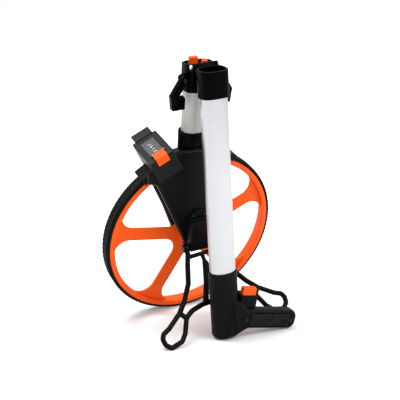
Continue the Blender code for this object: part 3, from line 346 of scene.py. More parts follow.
def fillGrain(tree):
    given = tree.nodes.new("NodeGroupInput").outputs
    place = addNode(tree, "ShaderNodeTexCoord").outputs["Object"]
    fine = addNode(tree, "ShaderNodeTexNoise", {"Detail": 3.0},
                   {"Vector": place, "Scale": given["Fine Scale"]})
    broad = addNode(tree, "ShaderNodeTexNoise", {"Detail": 4.0},
                    {"Vector": place, "Scale": given["Broad Scale"]})
    low = addNode(tree, "ShaderNodeBump", {"Strength": 1.0},
                  {"Height": broad.outputs["Fac"], "Distance": given["Broad Depth"]})
    high = addNode(tree, "ShaderNodeBump", {"Strength": 1.0},
                   {"Height": fine.outputs["Fac"], "Distance": given["Fine Depth"],
                    "Normal": low.outputs["Normal"]})
    offset = addNode(tree, "ShaderNodeMath", {1: 0.5}, {0: broad.outputs["Fac"]}, operation="SUBTRACT")
    rough = addNode(tree, "ShaderNodeMath", {}, {0: offset.outputs[0], 1: given["Spread"],
                                                 2: given["Roughness"]}, operation="MULTIPLY_ADD")
    mixed = addNode(tree, "ShaderNodeMath", {0: 1.0}, {0: broad.outputs["Fac"], 1: fine.outputs["Fac"]},
                    operation="ADD")
    centred = addNode(tree, "ShaderNodeMath", {1: 1.0}, {0: mixed.outputs[0]}, operation="SUBTRACT")
    bright = addNode(tree, "ShaderNodeMath", {2: 1.0}, {0: centred.outputs[0], 1: given["Colour Spread"]},
                     operation="MULTIPLY_ADD")
    colour = addNode(tree, "ShaderNodeHueSaturation", {},
                     {"Value": bright.outputs[0], "Color": given["Colour"]})
    out = tree.nodes.new("NodeGroupOutput")
    tree.links.new(colour.outputs["Color"], out.inputs["Colour"])
    tree.links.new(rough.outputs[0], out.inputs["Roughness"])
    tree.links.new(high.outputs["Normal"], out.inputs["Normal"])


fillGrain(grainGroup)
# Shared wear group: edges lighter by pointiness, and pale flecks on upward faces. The lighter edges are
# rubbed wear, and on the counter a painted edge highlight; the upward flecks are dust, and on the grip a
# painted top sheen.
wearAndPaintedLightGroup = shaderGroup(
    "edgeWear",
    [("Colour", colourKind, (0.5, 0.5, 0.5, 1.0)), ("Rubbed", colourKind, (0.6, 0.6, 0.6, 1.0)),
     ("Amount", number, 0.5), ("Dust", number, 0.05)],
    [("Colour", colourKind), ("Mask", number)])


def fillWear(tree):
    given = tree.nodes.new("NodeGroupInput").outputs
    place = addNode(tree, "ShaderNodeTexCoord").outputs["Object"]
    shapeNode = addNode(tree, "ShaderNodeNewGeometry")
    patch = addNode(tree, "ShaderNodeTexNoise", {"Scale": 90.0, "Detail": 5.0}, {"Vector": place})
    # Edges lighter: rubbed wear, and a painted edge highlight where the rubbed colour is bright
    edge = mapped(tree, shapeNode.outputs["Pointiness"], 0.52, 0.60, 0.0, 1.0)
    broken = mapped(tree, patch.outputs["Fac"], 0.42, 0.62, 0.25, 1.0)
    mask = addNode(tree, "ShaderNodeMath", {}, {0: edge, 1: broken}, operation="MULTIPLY")
    amount = addNode(tree, "ShaderNodeMath", {}, {0: mask.outputs[0], 1: given["Amount"]},
                     operation="MULTIPLY", use_clamp=True)
    rubbedAndHighlight = addNode(tree, "ShaderNodeMix", {}, {"Factor": amount.outputs[0]}, data_type="RGBA")
    tree.links.new(given["Colour"], rubbedAndHighlight.inputs[6])
    tree.links.new(given["Rubbed"], rubbedAndHighlight.inputs[7])
    facing = addNode(tree, "ShaderNodeSeparateXYZ", {}, {0: shapeNode.outputs["Normal"]})
    # Upward faces take pale flecks: dust, and a painted sheen on top faces
    upward = mapped(tree, facing.outputs["Z"], 0.2, 1.0, 0.0, 1.0)
    speck = addNode(tree, "ShaderNodeTexNoise", {"Scale": 700.0, "Detail": 2.0}, {"Vector": place})
    fleck = mapped(tree, speck.outputs["Fac"], 0.45, 0.7, 0.0, 1.0)
    dustAndTopSheen = addNode(tree, "ShaderNodeMath", {}, {0: upward, 1: fleck}, operation="MULTIPLY")
    dustAndSheenAmount = addNode(tree, "ShaderNodeMath", {}, {0: dustAndTopSheen.outputs[0], 1: given["Dust"]},
                         operation="MULTIPLY", use_clamp=True)
    dustAndSheenMix = addNode(tree, "ShaderNodeMix", {}, {"Factor": dustAndSheenAmount.outputs[0]}, data_type="RGBA")
    tree.links.new(rubbedAndHighlight.outputs[2], dustAndSheenMix.inputs[6])
    dustAndSheenMix.inputs[7].default_value = (0.5, 0.48, 0.45, 1.0)
    out = tree.nodes.new("NodeGroupOutput")
    tree.links.new(dustAndSheenMix.outputs[2], out.inputs["Colour"])
    tree.links.new(amount.outputs[0], out.inputs["Mask"])


fillWear(wearAndPaintedLightGroup)


def newFinish(name):
    material = bpy.data.materials.new(name)
    material.use_nodes = True
    return material, material.node_tree, material.node_tree.nodes["Principled BSDF"]


def plasticFinish(name, colour, rubbedAndHighlight, roughness, fineScale=1500.0, fineDepth=0.00003,
                  broadDepth=0.00008, spread=0.12, colourSpread=0.1, wearAndHighlight=0.5, dustAndTopSheen=0.04,
                  shine=0.3, metallic=0.0, coat=0.0):
    material, tree, shader = newFinish(name)
    grain = addNode(tree, "ShaderNodeGroup", node_tree=grainGroup)
    for label, value in (("Colour", (*colour, 1.0)), ("Fine Scale", fineScale),
                         ("Fine Depth", fineDepth), ("Broad Depth", broadDepth),
                         ("Roughness", roughness), ("Spread", spread),
                         ("Colour Spread", colourSpread)):
        grain.inputs[label].default_value = value
    wearAndPaintedLightNode = addNode(tree, "ShaderNodeGroup", node_tree=wearAndPaintedLightGroup)
    for label, value in (("Rubbed", (*rubbedAndHighlight, 1.0)), ("Amount", wearAndHighlight), ("Dust", dustAndTopSheen)):
        wearAndPaintedLightNode.inputs[label].default_value = value
    tree.links.new(grain.outputs["Colour"], wearAndPaintedLightNode.inputs["Colour"])
    tree.links.new(wearAndPaintedLightNode.outputs["Colour"], shader.inputs["Base Color"])
    tree.links.new(grain.outputs["Roughness"], shader.inputs["Roughness"])
    tree.links.new(grain.outputs["Normal"], shader.inputs["Normal"])
    shader.inputs["Metallic"].default_value = metallic
    shader.inputs["Specular IOR Level"].default_value = shine
    shader.inputs["Coat Weight"].default_value = coat
    shader.inputs["Coat Roughness"].default_value = 0.12
    return material


def metalFinish(name, colour, roughness, place, lengthScale=(1600.0, 1600.0, 12.0),
                lineDepth=0.000006, spread=0.12, metallic=1.0, rim=1.0, top=1.0):
    material, tree, shader = newFinish(name)
    position = addNode(tree, "ShaderNodeTexCoord").outputs["Object"]
    back = place.inverted()
    aimed = addNode(tree, "ShaderNodeMapping", {"Rotation": back.to_euler("XYZ"),
                                                "Location": back.translation}, {"Vector": position})
    stretched = addNode(tree, "ShaderNodeMapping", {"Scale": lengthScale}, {"Vector": aimed.outputs[0]})
    lines = addNode(tree, "ShaderNodeTexNoise", {"Scale": 1.0, "Detail": 4.0, "Roughness": 0.6},
                    {"Vector": stretched.outputs[0]})
    cloud = addNode(tree, "ShaderNodeTexNoise", {"Scale": 38.0, "Detail": 3.0}, {"Vector": position})
    bump = addNode(tree, "ShaderNodeBump", {"Strength": 1.0, "Distance": lineDepth},
                   {"Height": lines.outputs["Fac"]})
    tree.links.new(bump.outputs["Normal"], shader.inputs["Normal"])
    both = addNode(tree, "ShaderNodeMath", {2: 0.0}, {0: lines.outputs["Fac"], 1: cloud.outputs["Fac"]},
                   operation="MULTIPLY")
    tree.links.new(mapped(tree, both.outputs[0], 0.15, 0.38, roughness - spread / 2, roughness + spread / 2),
                   shader.inputs["Roughness"])
    tone = mapped(tree, lines.outputs["Fac"], 0.3, 0.7, 0.97, 1.02)
    # Painted shade: the colour darkens towards grazing edges by rim and higher up by top, for the shade at
    # the tube's sides and to hold its top back from white
    grazing = addNode(tree, "ShaderNodeLayerWeight", {"Blend": 0.5}).outputs["Facing"]
    height = addNode(tree, "ShaderNodeSeparateXYZ", {}, {0: position}).outputs["Z"]
    shade = addNode(tree, "ShaderNodeMath", {}, {0: mapped(tree, grazing, 0.45, 0.95, 1.0, rim),
                                                 1: mapped(tree, height, 0.12, 0.42, 1.0, top)},
                    operation="MULTIPLY")
    value = addNode(tree, "ShaderNodeMath", {}, {0: tone, 1: shade.outputs[0]}, operation="MULTIPLY")
    coloured = addNode(tree, "ShaderNodeHueSaturation", {"Color": (*colour, 1.0)},
                       {"Value": value.outputs[0]})
    wearAndPaintedLightNode = addNode(tree, "ShaderNodeGroup", node_tree=wearAndPaintedLightGroup)
    wearAndPaintedLightNode.inputs["Rubbed"].default_value = tuple(min(1.0, c * 1.15) for c in colour) + (1.0,)
    wearAndPaintedLightNode.inputs["Amount"].default_value = 0.12
    wearAndPaintedLightNode.inputs["Dust"].default_value = 0.02
    tree.links.new(coloured.outputs["Color"], wearAndPaintedLightNode.inputs["Colour"])
    tree.links.new(wearAndPaintedLightNode.outputs["Colour"], shader.inputs["Base Color"])
    shader.inputs["Metallic"].default_value = metallic
    return material


def clearFinish(name, colour, roughness):
    material, tree, shader = newFinish(name)
    position = addNode(tree, "ShaderNodeTexCoord").outputs["Object"]
    haze = addNode(tree, "ShaderNodeTexNoise", {"Scale": 160.0, "Detail": 5.0}, {"Vector": position})
    tree.links.new(mapped(tree, haze.outputs["Fac"], 0.35, 0.7, roughness, roughness + 0.1),
                   shader.inputs["Roughness"])
    tone = mapped(tree, haze.outputs["Fac"], 0.3, 0.7, 0.95, 1.02)
    tinted = addNode(tree, "ShaderNodeHueSaturation", {"Color": (*colour, 1.0)}, {"Value": tone})
    tree.links.new(tinted.outputs["Color"], shader.inputs["Base Color"])
    shader.inputs["Alpha"].default_value = 0.07
    shader.inputs["Specular IOR Level"].default_value = 0.4
    return material


finishes = {
    "orange_plastic": plasticFinish("orangePlastic", (0.92, 0.098, 0.006), (0.98, 0.24, 0.08), 0.45,
                                    fineDepth=0.000015, wearAndHighlight=0.35, dustAndTopSheen=0.02, shine=0.12),
    "tyre_rubber": plasticFinish("tyreRubber", (0.0042, 0.004, 0.0038), (0.03, 0.029, 0.027), 0.68,
                                 fineScale=900.0, fineDepth=0.00006, wearAndHighlight=0.5, dustAndTopSheen=0.06, shine=0.06),
    "grip_rubber": plasticFinish("gripRubber", (0.0052, 0.005, 0.0068), (0.022, 0.022, 0.027), 0.5,
                                 fineDepth=0.00003, wearAndHighlight=0.5, dustAndTopSheen=0.03, shine=0.1),
    "brake_rubber": plasticFinish("brakeRubber", (0.006, 0.006, 0.006), (0.03, 0.03, 0.03), 0.7,
                                  shine=0.1),
    "belt_rubber": plasticFinish("beltRubber", (0.006, 0.006, 0.006), (0.03, 0.03, 0.03), 0.65,
                                 shine=0.1),
    "fork_plastic": plasticFinish("forkPlastic", (0.0034, 0.0030, 0.0042), (0.02, 0.02, 0.024), 0.36,
                                  fineDepth=0.00001, wearAndHighlight=0.4, dustAndTopSheen=0.015, shine=0.07),
    "joint_plastic": plasticFinish("jointPlastic", (0.0009, 0.0008, 0.0011), (0.03, 0.03, 0.032), 0.34,
                                   fineDepth=0.00001, wearAndHighlight=0.6, dustAndTopSheen=0.015, shine=0.02),
    "bracket_plastic": plasticFinish("bracketPlastic", (0.003, 0.003, 0.004), (0.03, 0.03, 0.034), 0.42,
                                     fineDepth=0.00003, dustAndTopSheen=0.02, shine=0.06),
    # The counter's bright rubbed colour and high amount paint an edge highlight on its edges, besides wear
    "counter_plastic": plasticFinish("counterPlastic", (0.0062, 0.006, 0.0068), (0.16, 0.155, 0.15), 0.46,
                                     fineDepth=0.00003, wearAndHighlight=0.8, shine=0.12),
    # The grip's dust amount is raised so that its top faces also take a painted sheen
    "grip_plastic": plasticFinish("gripPlastic", (0.0032, 0.0029, 0.0039), (0.045, 0.045, 0.052), 0.46,
                                  fineDepth=0.00003, wearAndHighlight=0.5, dustAndTopSheen=0.05, shine=0.06),
    "stand_paint": plasticFinish("standPaint", (0.0014, 0.0013, 0.0014), (0.05, 0.05, 0.05), 0.38,
                                 fineScale=2200.0, fineDepth=0.00002, wearAndHighlight=0.4, dustAndTopSheen=0.02, shine=0.06),
    "window_clear": clearFinish("clearWindow", (0.9, 0.91, 0.92), 0.02),
    "drum_plastic": plasticFinish("drumPlastic", (0.003, 0.003, 0.0035), (0.02, 0.02, 0.02), 0.6,
                                  shine=0.04),
    "pulley_plastic": plasticFinish("pulleyPlastic", (0.72, 0.71, 0.68), (0.8, 0.8, 0.78), 0.45),
    # The tubes' rim and top darken the colour as painted shade
    "tube_aluminium": metalFinish("tubeAluminium", (0.52, 0.525, 0.54), 0.4, upperPlace,
                                  (2600.0, 2600.0, 9.0), 0.0000015, 0.04, rim=0.66, top=0.74),
    "plated_steel": metalFinish("platedSteel", (0.55, 0.54, 0.53), 0.28, forkPlace,
                                lengthScale=(500.0, 900.0, 500.0)),
    "screw_steel": metalFinish("screwSteel", (0.03, 0.03, 0.032), 0.45, forkPlace,
                               lengthScale=(700.0, 900.0, 700.0)),
}
# Finishes of pieces that differ from the rest of their slot; the lower tube's is a darker copy of the tube
# finish, as painted shade
lowerAluminium = metalFinish("lowerAluminium", (0.44, 0.425, 0.41), 0.6, forkPlace,
                             (2600.0, 2600.0, 9.0), 0.0000015, 0.04, 0.6, rim=0.75)
panelGroove = plasticFinish("panelGroove", (0.0016, 0.0016, 0.002), (0.01, 0.01, 0.012), 0.7, shine=0.03)
darkPin = metalFinish("darkPin", (0.03, 0.03, 0.032), 0.4, forkPlace, lengthScale=(500.0, 900.0, 500.0))
figureWhite = plasticFinish("figureWhite", (0.78, 0.78, 0.76), (0.85, 0.85, 0.85), 0.5, shine=0.3)
print("finishes made:", len(finishes), "and four for single pieces")

# CAD nodes that keep their solids get their finish in their own slots
for row in frame["record"]["subparts"]:
    node = frame["nodes"][row["node"]]
    node.data.materials.clear()
    dark = row["node"] in ("latch_pin_left", "latch_pin_right", "stand_pin")  # blackened pins
    node.data.materials.append(darkPin if dark else finishes[row["material_slot"]])
print("finishes given to the CAD nodes")


# Geometry Nodes trees for what repeats
def geometryTree(name, inputs):
    tree = bpy.data.node_groups.new(name, "GeometryNodeTree")
    for label, kind, value in inputs:
        socket = tree.interface.new_socket(name=label, in_out="INPUT", socket_type=kind)
        if value is not None:
            socket.default_value = value
    tree.interface.new_socket(name="Geometry", in_out="OUTPUT", socket_type="NodeSocketGeometry")
    return tree, tree.nodes.new("NodeGroupInput").outputs


def closeTree(tree, given, geometry):
    real = addNode(tree, "GeometryNodeRealizeInstances", {}, {"Geometry": geometry})
    painted = addNode(tree, "GeometryNodeSetMaterial", {}, {"Geometry": real.outputs[0],
                                                           "Material": given["Finish"]})
    out = tree.nodes.new("NodeGroupOutput")
    tree.links.new(painted.outputs[0], out.inputs["Geometry"])
    return tree


def fromTree(name, tree, values):
    obj = linked(name, bpy.data.meshes.new(name))
    nodes = obj.modifiers.new("nodes", "NODES")
    nodes.node_group = tree
    for item in tree.interface.items_tree:
        if item.in_out == "INPUT":
            nodes[item.identifier] = values[item.name]
    return baked(obj)


whole, blockKind, finishKind = "NodeSocketInt", "NodeSocketObject", "NodeSocketMaterial"


def makeRingTree():  # blocks set round the axle, each turned outwards
    tree, given = geometryTree("blocksRoundAxle", [
        ("Block", blockKind, None), ("Count", whole, 90), ("Radius", number, 0.15),
        ("Phase", number, 0.0), ("Level", number, 0.0), ("Finish", finishKind, None)])
    ring = addNode(tree, "GeometryNodeMeshCircle", {}, {"Vertices": given["Count"],
                                                        "Radius": given["Radius"]})
    place = addNode(tree, "GeometryNodeInputPosition")
    aim = addNode(tree, "FunctionNodeAlignRotationToVector", {}, {"Vector": place.outputs[0]},
                  axis="X", pivot_axis="Z")
    block = addNode(tree, "GeometryNodeObjectInfo", {}, {"Object": given["Block"]})
    spread = addNode(tree, "GeometryNodeInstanceOnPoints", {},
                     {"Points": ring.outputs[0], "Instance": block.outputs["Geometry"],
                      "Rotation": aim.outputs[0]})
    phase = addNode(tree, "ShaderNodeCombineXYZ", {}, {"Z": given["Phase"]})
    level = addNode(tree, "ShaderNodeCombineXYZ", {}, {"Z": given["Level"]})
    moved = addNode(tree, "GeometryNodeTransform", {}, {"Geometry": spread.outputs[0],
                    "Rotation": phase.outputs[0], "Translation": level.outputs[0]})
    return closeTree(tree, given, moved.outputs[0])


def makeFieldTree():  # blocks in staggered rows on a flat field
    tree, given = geometryTree("blocksOnField", [
        ("Block", blockKind, None), ("Columns", whole, 10), ("Rows", whole, 4),
        ("Pitch X", number, 0.005), ("Pitch Y", number, 0.004), ("Finish", finishKind, None)])
    grids = []
    for less in (1, 2):
        sizes = []
        for count, pitch in (("Columns", "Pitch X"), ("Rows", "Pitch Y")):
            gaps = addNode(tree, "ShaderNodeMath", {1: float(less)}, {0: given[count]},
                           operation="SUBTRACT")
            sizes.append(addNode(tree, "ShaderNodeMath", {}, {0: gaps.outputs[0], 1: given[pitch]},
                                 operation="MULTIPLY").outputs[0])
        counts = [addNode(tree, "ShaderNodeMath", {1: float(less - 1)}, {0: given[count]},
                          operation="SUBTRACT").outputs[0] for count in ("Columns", "Rows")]
        grids.append(addNode(tree, "GeometryNodeMeshGrid", {},
                             {"Size X": sizes[0], "Size Y": sizes[1], "Vertices X": counts[0],
                              "Vertices Y": counts[1]}).outputs[0])
    both = addNode(tree, "GeometryNodeJoinGeometry")
    for grid in grids:
        tree.links.new(grid, both.inputs[0])
    block = addNode(tree, "GeometryNodeObjectInfo", {}, {"Object": given["Block"]})
    spread = addNode(tree, "GeometryNodeInstanceOnPoints", {},
                     {"Points": both.outputs[0], "Instance": block.outputs["Geometry"]})
    return closeTree(tree, given, spread.outputs[0])


ringTree, fieldTree = makeRingTree(), makeFieldTree()
axleAim = turn("X", 90.0)  # a ring made flat in XY turns to face along the axle


def joined(first, *others):  # several meshes in one object, none welded
    shape = bmesh.new()
    for obj in (first, *others):
        shape.from_mesh(obj.data)
        bpy.data.objects.remove(obj)
    return fromShape(shape, "joined")


# Wheel
wheelSizes = {"rimRadius": 0.1527, "rimInner": 0.1437, "half": 0.013, "bed": 0.1507,
              "shell": 0.1498, "lipBack": 0.0036, "lipFoot": 0.0007, "seat": 0.01225,
              "edge": 0.0009, "webFace": 0.0075, "webThickness": 0.004, "webEdge": 0.0011,
              "boss": 0.020, "bearing": 0.011, "spokes": 5, "spokeWidth": 0.0242,
              "spokeAngle": 167.3, "outerFillet": 0.024, "innerFillet": 0.022, "steps": 200,
              "lipTurn": 22.0, "bossEdge": 0.0015}


def wheelWindow(s):
    half = s["spokeWidth"] / 2
    pitch = 360.0 / s["spokes"]
    bisector = math.radians(pitch / 2)
    reach = (half + s["innerFillet"]) / math.sin(bisector)
    inner = (reach * math.cos(bisector), reach * math.sin(bisector))
    outerReach = s["rimInner"] - s["outerFillet"]
    offset = math.degrees(math.asin((half + s["outerFillet"]) / outerReach))
    ends = [(outerReach * math.cos(math.radians(a)), outerReach * math.sin(math.radians(a)))
            for a in (offset, pitch - offset)]
    outline = arcPoints(inner, s["innerFillet"], pitch + 90.0, 270.0, 22)
    outline += arcPoints(ends[0], s["outerFillet"], -90.0, offset, 16)
    outline += arcPoints((0.0, 0.0), s["rimInner"], offset, pitch - offset, 12)[1:-1]
    outline += arcPoints(ends[1], s["outerFillet"], pitch - offset, pitch + 90.0, 16)
    return outline


def makeWheel():
    s = wheelSizes
    profile = roundedPath([(s["rimRadius"], s["seat"]), (s["bed"], s["half"]),
                           (s["rimInner"], s["half"]), (s["rimInner"], s["lipBack"]),
                           (s["shell"], s["lipFoot"]), (s["shell"], -s["half"]),
                           (s["bed"], -s["half"]), (s["rimRadius"], -s["seat"])],
                          s["edge"], step=s["lipTurn"])
    rim = lathe(profile, s["steps"])
    window = wheelWindow(s)
    windows = []
    for i in range(s["spokes"]):
        spin = Matrix.Rotation(math.radians(s["spokeAngle"] + 360.0 / s["spokes"] * i), 2)
        windows.append([tuple(spin @ Vector(point)) for point in window])
    edge = arcPoints((0.0, 0.0), (s["rimInner"] + s["rimRadius"]) / 2, 0.0, 360.0, s["steps"])[:-1]
    web = sheetPiece([edge] + windows, -s["webFace"], s["webThickness"] - s["webFace"], s["webEdge"])
    boss = rod(s["boss"], -s["half"], s["half"], steps=72, edgeRound=s["bossEdge"])
    disc = combined(rim, "UNION", web, boss)
    disc = combined(disc, "DIFFERENCE", rod(s["bearing"], -s["half"] * 2, s["half"] * 2, steps=60))
    dressed(settled(disc, forkPlace), "wheelDisc", "wheel", "orange_plastic", "wheel_disc")


makeWheel()
print("wheel made")

# Tyre: a band with shoulders, and two rows of slanted tread blocks
tyreSizes = {"radius": 0.159, "inner": 0.153, "half": 0.01225, "shoulder": 0.004,
             "treadDepth": 0.0005, "blocks": 112, "blockLength": 0.0056, "blockWidth": 0.0086,
             "row": 0.0052, "slant": 16.0, "steps": 224,
             "blockDepth": 0.0008, "blockEdge": 0.0005, "blockDrop": 0.00002}


def makeTyre():
    s = tyreSizes
    base = s["radius"] - s["treadDepth"]
    centre = (base - s["shoulder"], s["half"] - s["shoulder"])
    outer = arcPoints(centre, s["shoulder"], 0.0, 90.0, 6)
    profile = outer + [(s["inner"], s["half"]), (s["inner"], -s["half"])]
    profile += [(radius, -forward) for radius, forward in reversed(outer)]
    band = lathe(profile, s["steps"])
    sides = []
    for side in (-1, 1):
        block = box(-s["blockDepth"], 0.0, -s["blockLength"] / 2, s["blockLength"] / 2,
                    -s["blockWidth"] / 2, s["blockWidth"] / 2, s["blockEdge"], 2)
        settled(block, turn("X", s["slant"] * side))
        sides.append(fromTree("treadRow", ringTree, {
            "Block": block, "Count": s["blocks"], "Radius": s["radius"] - s["blockDrop"],
            "Phase": math.pi / s["blocks"] * (side > 0), "Level": s["row"] * side,
            "Finish": finishes["tyre_rubber"]}))
        bpy.data.objects.remove(block)
    for row in sides:
        settled(row, axleAim)
    tyre = joined(band, *sides)
    dressed(settled(tyre, forkPlace), "tyreWithTread", "wheel", "tyre_rubber", "tyre")


makeTyre()
print("tyre made")

# Fork: its front leg is drawn here, the rest is worn copies of the solids
forkSizes = {
    "front": 0.033, "frontThickness": 0.012, "cornerRound": 0.010,
    "edgeRound": 0.0058, "collarWide": 0.027, "collarDeep": 0.0195, "collarLow": 0.172,
    "collarHigh": 0.205, "collarEdge": 0.0016, "tubeWide": 0.0223, "tubeDeep": 0.0173,
    "axle": 0.0053, "head": 0.0093, "headDepth": 0.0043,
    "drill": 0.0396, "crownRise": 0.0006, "crownCut": (0.08, 0.25),
    "crownSoft": (0.0006, 4),  # voxel size and passes, as in the next rows
    "copies": [("fork_rear_leg", "forkRearLeg", 0.0011, 5), ("fender", "tyreFender", 0.0008, 4),
               ("belt_cover", "beltCover", 0.0006, 2)],
    "frontCorners": [(-0.0205, -0.022), (0.0205, -0.022), (0.0225, 0.0), (0.042, 0.046),
                     (0.053, 0.112), (0.053, 0.150), (0.042, 0.177), (-0.058, 0.183),
                     (-0.092, 0.149), (-0.092, 0.131), (-0.077, 0.1285), (-0.0425, 0.048),
                     (-0.0225, 0.0)]}
counterSizes = {"half": 0.023, "deep": 0.0365, "height": 0.044}


def counterSpace(grow):
    s = counterSizes
    return settled(box(-s["half"] - grow, s["half"] + grow, -s["deep"] - grow, s["deep"] + grow,
                       -s["height"] - grow, s["height"]),
                   shift(x=stance["counterAcross"], z=stance["counterUp"])
                   @ turn("Y", -stance["counterTilt"]))


def makeFork():
    s = forkSizes
    gap = common["gap"]
    front = slab(s["frontCorners"], s["cornerRound"], -s["front"], -s["front"] + s["frontThickness"],
                 s["edgeRound"], 8)
    collar = ovalBar(s["collarWide"] + gap, s["collarDeep"] + gap,
                     [(s["collarLow"] - gap, 0.0), (s["collarHigh"], 0.0)], -stance["tubeForward"])
    front = combined(front, "DIFFERENCE", counterSpace(gap), collar,
                     rod(s["axle"], -s["drill"], 0.0),
                     rod(s["head"], -s["drill"], -s["front"] + s["headDepth"]))
    dressed(settled(front, forkPlace), "forkFrontLeg", "frame", "fork_plastic", "fork_front_leg")
    levels = [(s["collarLow"], 0.0)]
    for k in range(6):
        a = math.radians(90.0 * k / 5)
        levels.append((s["collarHigh"] - s["collarEdge"] * (1 - math.sin(a)),
                       s["collarEdge"] * (1 - math.cos(a))))
    sleeve = ovalBar(s["collarWide"], s["collarDeep"], levels, -stance["tubeForward"])
    bore = ovalBar(s["tubeWide"], s["tubeDeep"], [(s["collarLow"] - common["over"], 0.0),
                                                 (s["collarHigh"] + common["over"], 0.0)],
                   -stance["tubeForward"])
    sleeve = combined(sleeve, "DIFFERENCE", bore)
    dressed(settled(sleeve, forkPlace), "collarSleeve", "frame", "fork_plastic")
    # The collar takes the darker joint finish as painted shade; it is moulded with the fork
    sleeve.data.materials[0] = finishes["joint_plastic"]
    crown = copyOf("fork_crown")
    reach, top = s["crownCut"]
    above = settled(box(-reach, reach, -reach, reach, s["collarLow"] + s["crownRise"], top), forkPlace)
    crown = softened(combined(crown, "DIFFERENCE", above), *s["crownSoft"])
    dressed(crown, "crownBody", "frame", "fork_plastic", "fork_crown")
    for node, name, voxel, passes in s["copies"]:
        dressed(softened(copyOf(node), voxel, passes), name, "frame", "fork_plastic", node)


makeFork()
print("fork made")

# Tubes: drawn oval tubes, finely brushed along their length
tubeSizes = {"wide": 0.022, "deep": 0.017, "wall": 0.0018,
             "lower": (0.178, 0.299), "upper": (-0.3725, -0.0283), "edgeShare": 0.25, "steps": 144}


def ovalTube(low, high, yCentre, s):
    edge = s["wall"] * s["edgeShare"]
    outer, tight, loose, inner = [oval(s["wide"] - inset, s["deep"] - inset, steps=s["steps"])
                                  for inset in (0.0, edge, s["wall"] - edge, s["wall"])]
    rings = [[(x, yCentre + y, z) for x, y in outline]
             for outline, z in ((outer, low + edge), (outer, high - edge), (tight, high), (loose, high),
                                (inner, high - edge), (inner, low + edge), (loose, low), (tight, low))]
    return ringsToPiece(rings, "tube", capped=False)


def makeTubes():
    s = tubeSizes
    lower = ovalTube(*s["lower"], -stance["tubeForward"], s)
    dressed(settled(lower, forkPlace), "lowerTube", "frame", "tube_aluminium", "lower_tube")
    # The lower tube gets the darker copy of the tube finish: painted shade
    lower.data.materials[0] = lowerAluminium
    upper = ovalTube(*s["upper"], tubeBack, s)
    dressed(settled(upper, upperPlace), "upperTube", "upper", "tube_aluminium", "upper_tube")


makeTubes()
print("tubes made")

# Joint: sockets, latches and the brake rod's heads
jointPieces = [("lower_socket", "lowerSocket", "frame", "joint_plastic", 0.0006, 5),
               ("upper_socket", "upperSocket", "upper", "joint_plastic", 0.0006, 5),
               ("latch_left", "latchLeft", "latch_left", "joint_plastic", 0.00035, 5),
               ("latch_right", "latchRight", "latch_right", "joint_plastic", 0.00035, 5),
               ("brake_rod_head", "brakeRodHead", "brake", "orange_plastic", 0.0003, 3),
               ("push_rod_pad", "pushRodPad", "push_rod", "joint_plastic", 0.0003, 3),
               ("brake_shoe", "brakeShoe", "brake", "brake_rubber", 0.0004, 3),
               ("reset_lever", "resetLever", "reset_lever", "orange_plastic", 0.00035, 3),
               ("trigger", "brakeTrigger", "trigger", "orange_plastic", 0.0003, 5),
               ("trigger_housing", "triggerHousing", "upper", "grip_plastic", 0.0005, 3),
               ("counter_housing", "counterHousing", "frame", "counter_plastic", 0.0008, 2),
               ("counter_panel", "counterPanel", "frame", "counter_plastic", 0.0005, 2),
               ("stand_bracket", "standBracket", "frame", "bracket_plastic", 0.0005, 4)]
for node, name, body, slot, voxel, passes in jointPieces:
    dressed(softened(copyOf(node), voxel, passes), name, body, slot, node)
print("small mouldings made")

# Counter drums with figures
drumSizes = {"radius": 0.0105, "pitch": 0.0076, "drop": 0.0145, "bore": 0.0023, "figure": 0.0082,
             "raise": 0.0002, "bold": 0.0002, "slot": (0.0037, 0.0029), "edge": 0.0004,
             "edgeTurn": 30.0, "slice": 0.0006, "mask": (-0.0121, 0.0121, -0.0194, 0.0254),
             "maskDrop": 0.0029, "maskHalf": 0.0004, "maskEdge": 0.0001, "shown": (0, 0, 1, 4, 7)}


def figureMesh(digit, s):  # one figure, bent round its drum
    curve = bpy.data.curves.new("figure", "FONT")
    curve.body = str(digit)
    curve.size = s["figure"]
    curve.align_x = "CENTER"
    curve.align_y = "CENTER"
    curve.extrude = s["raise"]
    curve.offset = s["bold"]
    obj = bpy.data.objects.new("figure", curve)
    bpy.context.scene.collection.objects.link(obj)
    obj = baked(obj, weld=True)
    shape = bmesh.new()
    shape.from_mesh(obj.data)
    bpy.data.objects.remove(obj)
    for k in range(-6, 7):
        bmesh.ops.bisect_plane(shape, geom=shape.verts[:] + shape.edges[:] + shape.faces[:],
                               plane_co=(0.0, k * s["slice"], 0.0), plane_no=(0.0, 1.0, 0.0))
    for vertex in shape.verts:
        a = vertex.co.y / s["radius"]
        r = s["radius"] + vertex.co.z + s["raise"] * 0.5
        vertex.co = Vector((-r * math.sin(a), vertex.co.x, r * math.cos(a)))
    mesh = bpy.data.meshes.new("figure")
    shape.to_mesh(mesh)
    shape.free()
    return mesh


